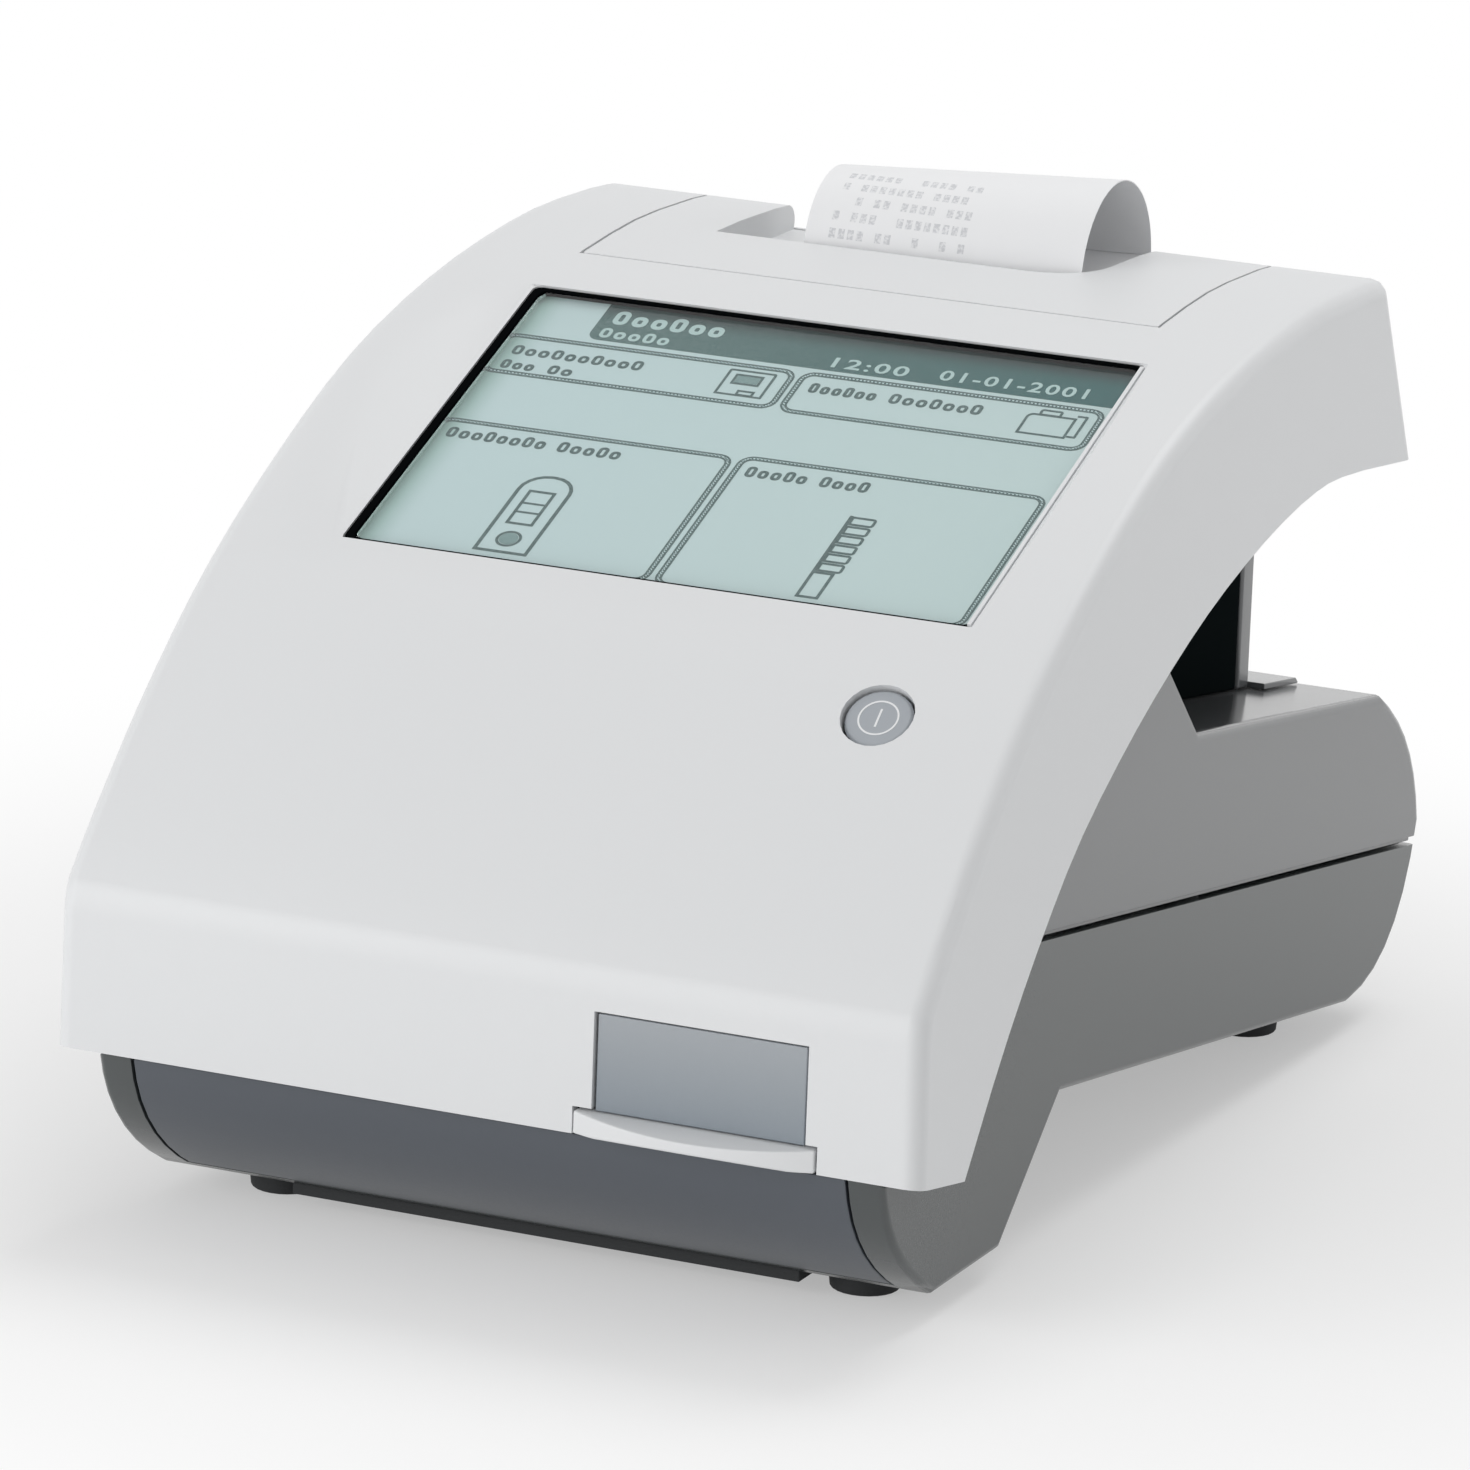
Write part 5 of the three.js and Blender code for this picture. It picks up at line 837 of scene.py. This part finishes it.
# computer, folder, cassette and strip pictograms
line = ink["line"]
computer = {"outer": (-12.6, -2.9, 62.4, 70.9), "corner": 0.5, "screen": (-10.8, -5.0, 66.1, 69.5),
            "foot": (-8.4, -4.8, 62.6, 64.4), "fillInset": 0.6}
folder = {"front": (48.3, 58.1, 62.8, 69.6), "frontCorner": 1.4, "tab": (50.4, 54.9, 69.2, 71.2),
          "tabCorner": 0.6, "back": [((57.9, 70.3), (59.9, 70.3)), ((59.8, 70.4), (59.8, 63.7)),
                                     ((60.0, 63.6), (58.2, 63.6))]}
cassette = {"outer": (-35.9, -24.9, 4.4, 29.7), "corner": 5.1, "stroke": line * 1.4,
            "window": (-33.4, -27.8, 13.6, 24.7), "windowStroke": line * 1.2, "bands": (0.36, 0.62),
            "spot": (-30.5, 9.0), "spotOuter": 2.5, "spotInner": 1.95, "spotFill": 1.8}
strip = {"left": 28.9, "right": 33.5, "low": 4.1, "handle": 12.4, "handleStroke": line * 1.2,
         "edgeStroke": line * 1.3, "pads": 6, "pitch": 3.0, "padLeft": 29.4, "padRight": 34.5, "padGap": 0.1,
         "padCorner": 0.8, "padStroke": line * 1.1}
strokes = []
strokes.append(ring(*computer["outer"], line, (upperLeft, upperRight), computer["corner"]))
strokes.append(ring(*computer["screen"], line))
strokes.append(ring(*computer["foot"], line))
strokes.append(ring(*folder["front"], line, (upperLeft,), folder["frontCorner"]))
strokes.append(ring(*folder["tab"], line, (upperLeft, upperRight), folder["tabCorner"]))
for start, end in folder["back"]:
    strokes.append(slope(start, end, line))
strokes.append(ring(*cassette["outer"], cassette["stroke"], (upperLeft, upperRight), cassette["corner"]))
strokes.append(ring(*cassette["window"], cassette["windowStroke"]))
windowLeft, windowRight, windowLow, windowHigh = cassette["window"]
for share in cassette["bands"]:
    level = windowLow + share * (windowHigh - windowLow)
    strokes.append(bar(windowLeft, windowRight, level - line / 2, level + line / 2))
strokes.append(disc(*cassette["spot"], cassette["spotOuter"], cassette["spotInner"]))
strokes.append(ring(strip["left"], strip["right"], strip["low"], strip["handle"], strip["handleStroke"]))
stripTop = strip["handle"] + strip["pads"] * strip["pitch"]
strokes.append(bar(strip["left"], strip["left"] + strip["edgeStroke"], strip["handle"], stripTop))
for i in range(strip["pads"]):
    low = strip["handle"] + i * strip["pitch"] + strip["padGap"]
    high = strip["handle"] + (i + 1) * strip["pitch"] - strip["padGap"]
    strokes.append(ring(strip["padLeft"], strip["padRight"], low, high, strip["padStroke"],
                        (upperRight, lowerRight), strip["padCorner"]))
screenPiece(strokes, "screen_pictograms", lineInk)
left, right, low, high = computer["screen"]
inset = computer["fillInset"]
fills = [bar(left + inset, right - inset, low + inset, high - inset),
         disc(*cassette["spot"], cassette["spotFill"])]
screenPiece(fills, "screen_pictogram_fills", halfInk)

# rows of plain cells stand where the screen has words: left, right, low, high, cells in the row
wordCell = {"every": 3, "short": 0.76, "wide": 0.76, "corner": 0.34, "stroke": 0.7, "heavyStroke": 1.05}


def cellRow(left, right, low, high, count, stroke, base=ink["base"]):
    pitch = (right - left) / count
    row = []
    for i in range(count):
        start = left + i * pitch
        top = high if i % wordCell["every"] == 0 else low + wordCell["short"] * (high - low)
        row.append(ring(start, start + wordCell["wide"] * pitch, low, top, stroke, None,
                        wordCell["corner"] * pitch, base))
    return row


wordRows = [(-56.4, -28.8, 66.2, 69.3, 10), (-56.6, -49.2, 61.4, 64.3, 3), (-46.8, -41.2, 61.4, 64.3, 2),
            (4.7, 18.8, 66.6, 69.8, 6), (21.0, 40.2, 66.6, 69.8, 7),
            (-56.9, -36.0, 37.5, 40.8, 8), (-34.0, -20.6, 37.5, 40.8, 5), (4.1, 17.0, 37.9, 41.2, 5),
            (19.1, 29.4, 37.9, 41.2, 4)]
wordCells = []
for place in wordRows:
    wordCells.extend(cellRow(*place, wordCell["stroke"]))
screenPiece(wordCells, "screen_word_cells", lineInk)
headerRows = [(-41.6, -17.8, 79.9, 84.4, 6, wordCell["heavyStroke"]),
              (-42.2, -27.2, 75.2, 78.4, 5, wordCell["stroke"])]
headerCells = []
for row in headerRows:
    headerCells.extend(cellRow(*row, ink["above"]))
screenPiece(headerCells, "screen_header_cells", paleInk)

# words, left, low, height, stretch
clock = {"time": ("12:00", 4.6, 75.5, 3.2, 1.42), "date": ("01-01-2001", 27.3, 76.0, 3.2, 1.24)}
lettering = {"size": 1.42, "spacing": 1.18, "swell": 0.07, "steps": 3}


def clockDigits(words, left, low, height, stretch):
    clearPicks()
    bpy.ops.object.text_add(location=(0, 0, 0))
    label = bpy.context.object
    label.data.body = words
    label.data.size = height * lettering["size"] * mm
    label.data.space_character = lettering["spacing"]
    label.data.extrude = ink["thick"] / 2 * mm
    label.data.offset = lettering["swell"] * mm
    label.data.resolution_u = lettering["steps"]
    bpy.ops.object.convert(target="MESH")
    label = bpy.context.object
    editPiece(label)
    bpy.ops.mesh.select_all(action="SELECT")
    bpy.ops.mesh.remove_doubles(threshold=mergeReach)
    leaveEdit()
    label.scale = (stretch, 1, 1)
    label.location = (left * mm, low * mm, (ink["above"] + ink["thick"] / 2) * mm)
    applyPlace(label)
    return label


screenPiece([clockDigits(*clock["time"]), clockDigits(*clock["date"])], "screen_clock_digits", paleInk)
print("screen picture done")


# power mark, printed on the button's cap

powerMark = {"outer": 3.85, "inner": 3.5, "points": 48, "barHalf": 0.2, "barReach": 2.0, "base": -0.49,
             "thick": 0.04}
markRing = disc(0, 0, powerMark["outer"], powerMark["inner"], powerMark["points"], powerMark["base"],
                powerMark["thick"])
half, reach = powerMark["barHalf"], powerMark["barReach"]
markBar = flatPlate(-half, half, -reach, reach, base=powerMark["base"])
thicken(markBar, powerMark["thick"])
mark = joinPieces([markRing, markBar], "power_mark")
mark.rotation_euler = (buttonPlace["tilt"], 0, 0)
mark.location = buttonPlace["middle"]
applyPlace(mark)
dress(mark, moulded("markWhite", (0.82, 0.83, 0.84), 0.5, 900.0, 0.02, 0.05), "button")
print("power mark done")


# printed paper that curls out of the pocket

def paperCurl():
    clearPicks()
    bpy.ops.mesh.primitive_plane_add(size=1, location=(0, 0, 0))
    piece = bpy.context.object
    piece.name = "printed_curl"
    width = curl["right"] - curl["left"]
    rise = curl["axis"] - curl["foot"]
    piece.scale = (width, rise, 1)
    piece.rotation_euler = (radians(90), 0, 0)
    piece.location = ((curl["left"] + curl["right"]) / 2, curl["footLeft"], curl["foot"] + rise / 2)
    applyPlace(piece)
    editPiece(piece)
    top = curl["axis"] - curl["pickReach"]
    pickPoints(piece, lambda at: at.z > top)
    middle = (0, curl["footLeft"] + curl["radiusLeft"], curl["axis"])
    bpy.ops.mesh.spin(steps=curl["steps"], angle=radians(curl["sweep"]), center=middle, axis=(1, 0, 0))
    bpy.ops.mesh.select_all(action="SELECT")
    bpy.ops.mesh.remove_doubles(threshold=mergeReach)
    # the right edge is rolled a little wider
    pickPoints(piece, lambda at: at.x > 0 and at.z > top)
    grow = curl["radiusRight"] / curl["radiusLeft"]
    bpy.ops.transform.resize(value=(1, grow, grow), center_override=middle)
    leaveEdit()
    shift = curl["footRight"] + curl["radiusRight"] - curl["footLeft"] - curl["radiusLeft"]
    for point in piece.data.vertices:
        if point.co.x > 0:
            if point.co.z > top:
                point.co.y += shift
            else:
                point.co.y = curl["footRight"]
    return piece


paper = paperCurl()
sheet = paper.modifiers.new("sheet", "SOLIDIFY")
sheet.thickness = curl["thickness"]
sheet.offset = 0
applyModifier(paper, sheet)
editPiece(paper)
bpy.ops.mesh.select_all(action="SELECT")
bpy.ops.mesh.normals_make_consistent(inside=False)
leaveEdit()
bpy.ops.object.shade_smooth_by_angle(angle=curl["smooth"])
dress(paper, paperStock("printedPaper", True), "lid")
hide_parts("paper_strip")
print("paper done")


# floor, world, lights and camera

# the floor takes the shadow near the object and fades to white from there
floorLook = {"size": 8, "level": -0.0001, "tone": (0.93, 0.93, 0.93, 1), "rough": 0.9,
             "fade": (0.14, 0.34), "white": (0.40, 1.0)}


def seenRays(tree):
    # 1 for rays that show the surroundings: from the camera, mirrored, or through glass
    path = tree.nodes.new("ShaderNodeLightPath")
    seen = mathNode(tree, "MAXIMUM", path.outputs["Is Camera Ray"], path.outputs["Is Glossy Ray"])
    return mathNode(tree, "MAXIMUM", seen, path.outputs["Is Transmission Ray"])


def makeFloor():
    clearPicks()
    bpy.ops.mesh.primitive_plane_add(size=floorLook["size"], location=(0, 0, floorLook["level"]))
    floor = bpy.context.object
    floor.name = "studio_floor"
    applyPlace(floor)
    material, tree, shader = newMaterial("studioFloor")
    shader.inputs["Base Color"].default_value = floorLook["tone"]
    shader.inputs["Roughness"].default_value = floorLook["rough"]
    shader.inputs["Specular IOR Level"].default_value = 0.0
    length = tree.nodes.new("ShaderNodeVectorMath")
    length.operation = "LENGTH"
    tree.links.new(tree.nodes.new("ShaderNodeTexCoord").outputs["Object"], length.inputs[0])
    away = rangeNode(tree, length.outputs["Value"], *floorLook["fade"], *floorLook["white"], True)
    white = tree.nodes.new("ShaderNodeEmission")
    white.inputs["Strength"].default_value = 1.0
    mixed = tree.nodes.new("ShaderNodeMixShader")
    tree.links.new(mathNode(tree, "MULTIPLY", away, seenRays(tree)), mixed.inputs[0])
    tree.links.new(shader.outputs[0], mixed.inputs[1])
    tree.links.new(white.outputs[0], mixed.inputs[2])
    tree.links.new(mixed.outputs[0], tree.nodes["Material Output"].inputs["Surface"])
    floor.data.materials.append(material)


def makeWorld(level):
    world = bpy.data.worlds.new("studioWorld")
    bpy.context.scene.world = world
    world.use_nodes = True
    tree = world.node_tree
    soft = tree.nodes["Background"]
    soft.inputs["Color"].default_value = (1, 1, 1, 1)
    soft.inputs["Strength"].default_value = level
    white = tree.nodes.new("ShaderNodeBackground")
    white.inputs["Color"].default_value = (1, 1, 1, 1)
    white.inputs["Strength"].default_value = 1.0
    mixed = tree.nodes.new("ShaderNodeMixShader")
    tree.links.new(seenRays(tree), mixed.inputs[0])
    tree.links.new(soft.outputs[0], mixed.inputs[1])
    tree.links.new(white.outputs[0], mixed.inputs[2])
    tree.links.new(mixed.outputs[0], tree.nodes["World Output"].inputs["Surface"])


def addLamp(name, place, aim, size, watts):
    clearPicks()
    bpy.ops.object.light_add(type="AREA", location=place)
    lamp = bpy.context.object
    lamp.name = name
    lamp.data.shape = "SQUARE"
    lamp.data.size = size
    lamp.data.energy = watts
    lamp.rotation_euler = (Vector(aim) - Vector(place)).to_track_quat("-Z", "Y").to_euler()


makeFloor()
worldLevel = 0.46
makeWorld(worldLevel)
lamps = {
    "keyLamp": {"place": (-1.18, -1.77, 0.62), "aim": (0, 0, 0.08), "size": 1.5, "watts": 24},
    "rearLamp": {"place": (0.22, 0.96, 1.84), "aim": (0, 0, 0.1), "size": 1.1, "watts": 15},
    "sideLamp": {"place": (1.7, 0.7, 0.6), "aim": (0, 0, 0.08), "size": 0.9, "watts": 3.2},
}
for lampName, lamp in lamps.items():
    addLamp(lampName, lamp["place"], lamp["aim"], lamp["size"], lamp["watts"])

view = {"place": (0.674928, -1.557535, 0.522787), "turn": (75.15317, -2.05191, 24.33344), "lens": 227.1385,
        "sensor": 36}
clearPicks()
bpy.ops.object.camera_add(location=view["place"], rotation=tuple(radians(angle) for angle in view["turn"]))
camera = bpy.context.object
camera.name = "frontRightCamera"
camera.data.lens = view["lens"]
camera.data.sensor_width = view["sensor"]
bpy.context.scene.camera = camera
bpy.context.scene.view_settings.view_transform = "Standard"
clearPicks()
print("stage done")
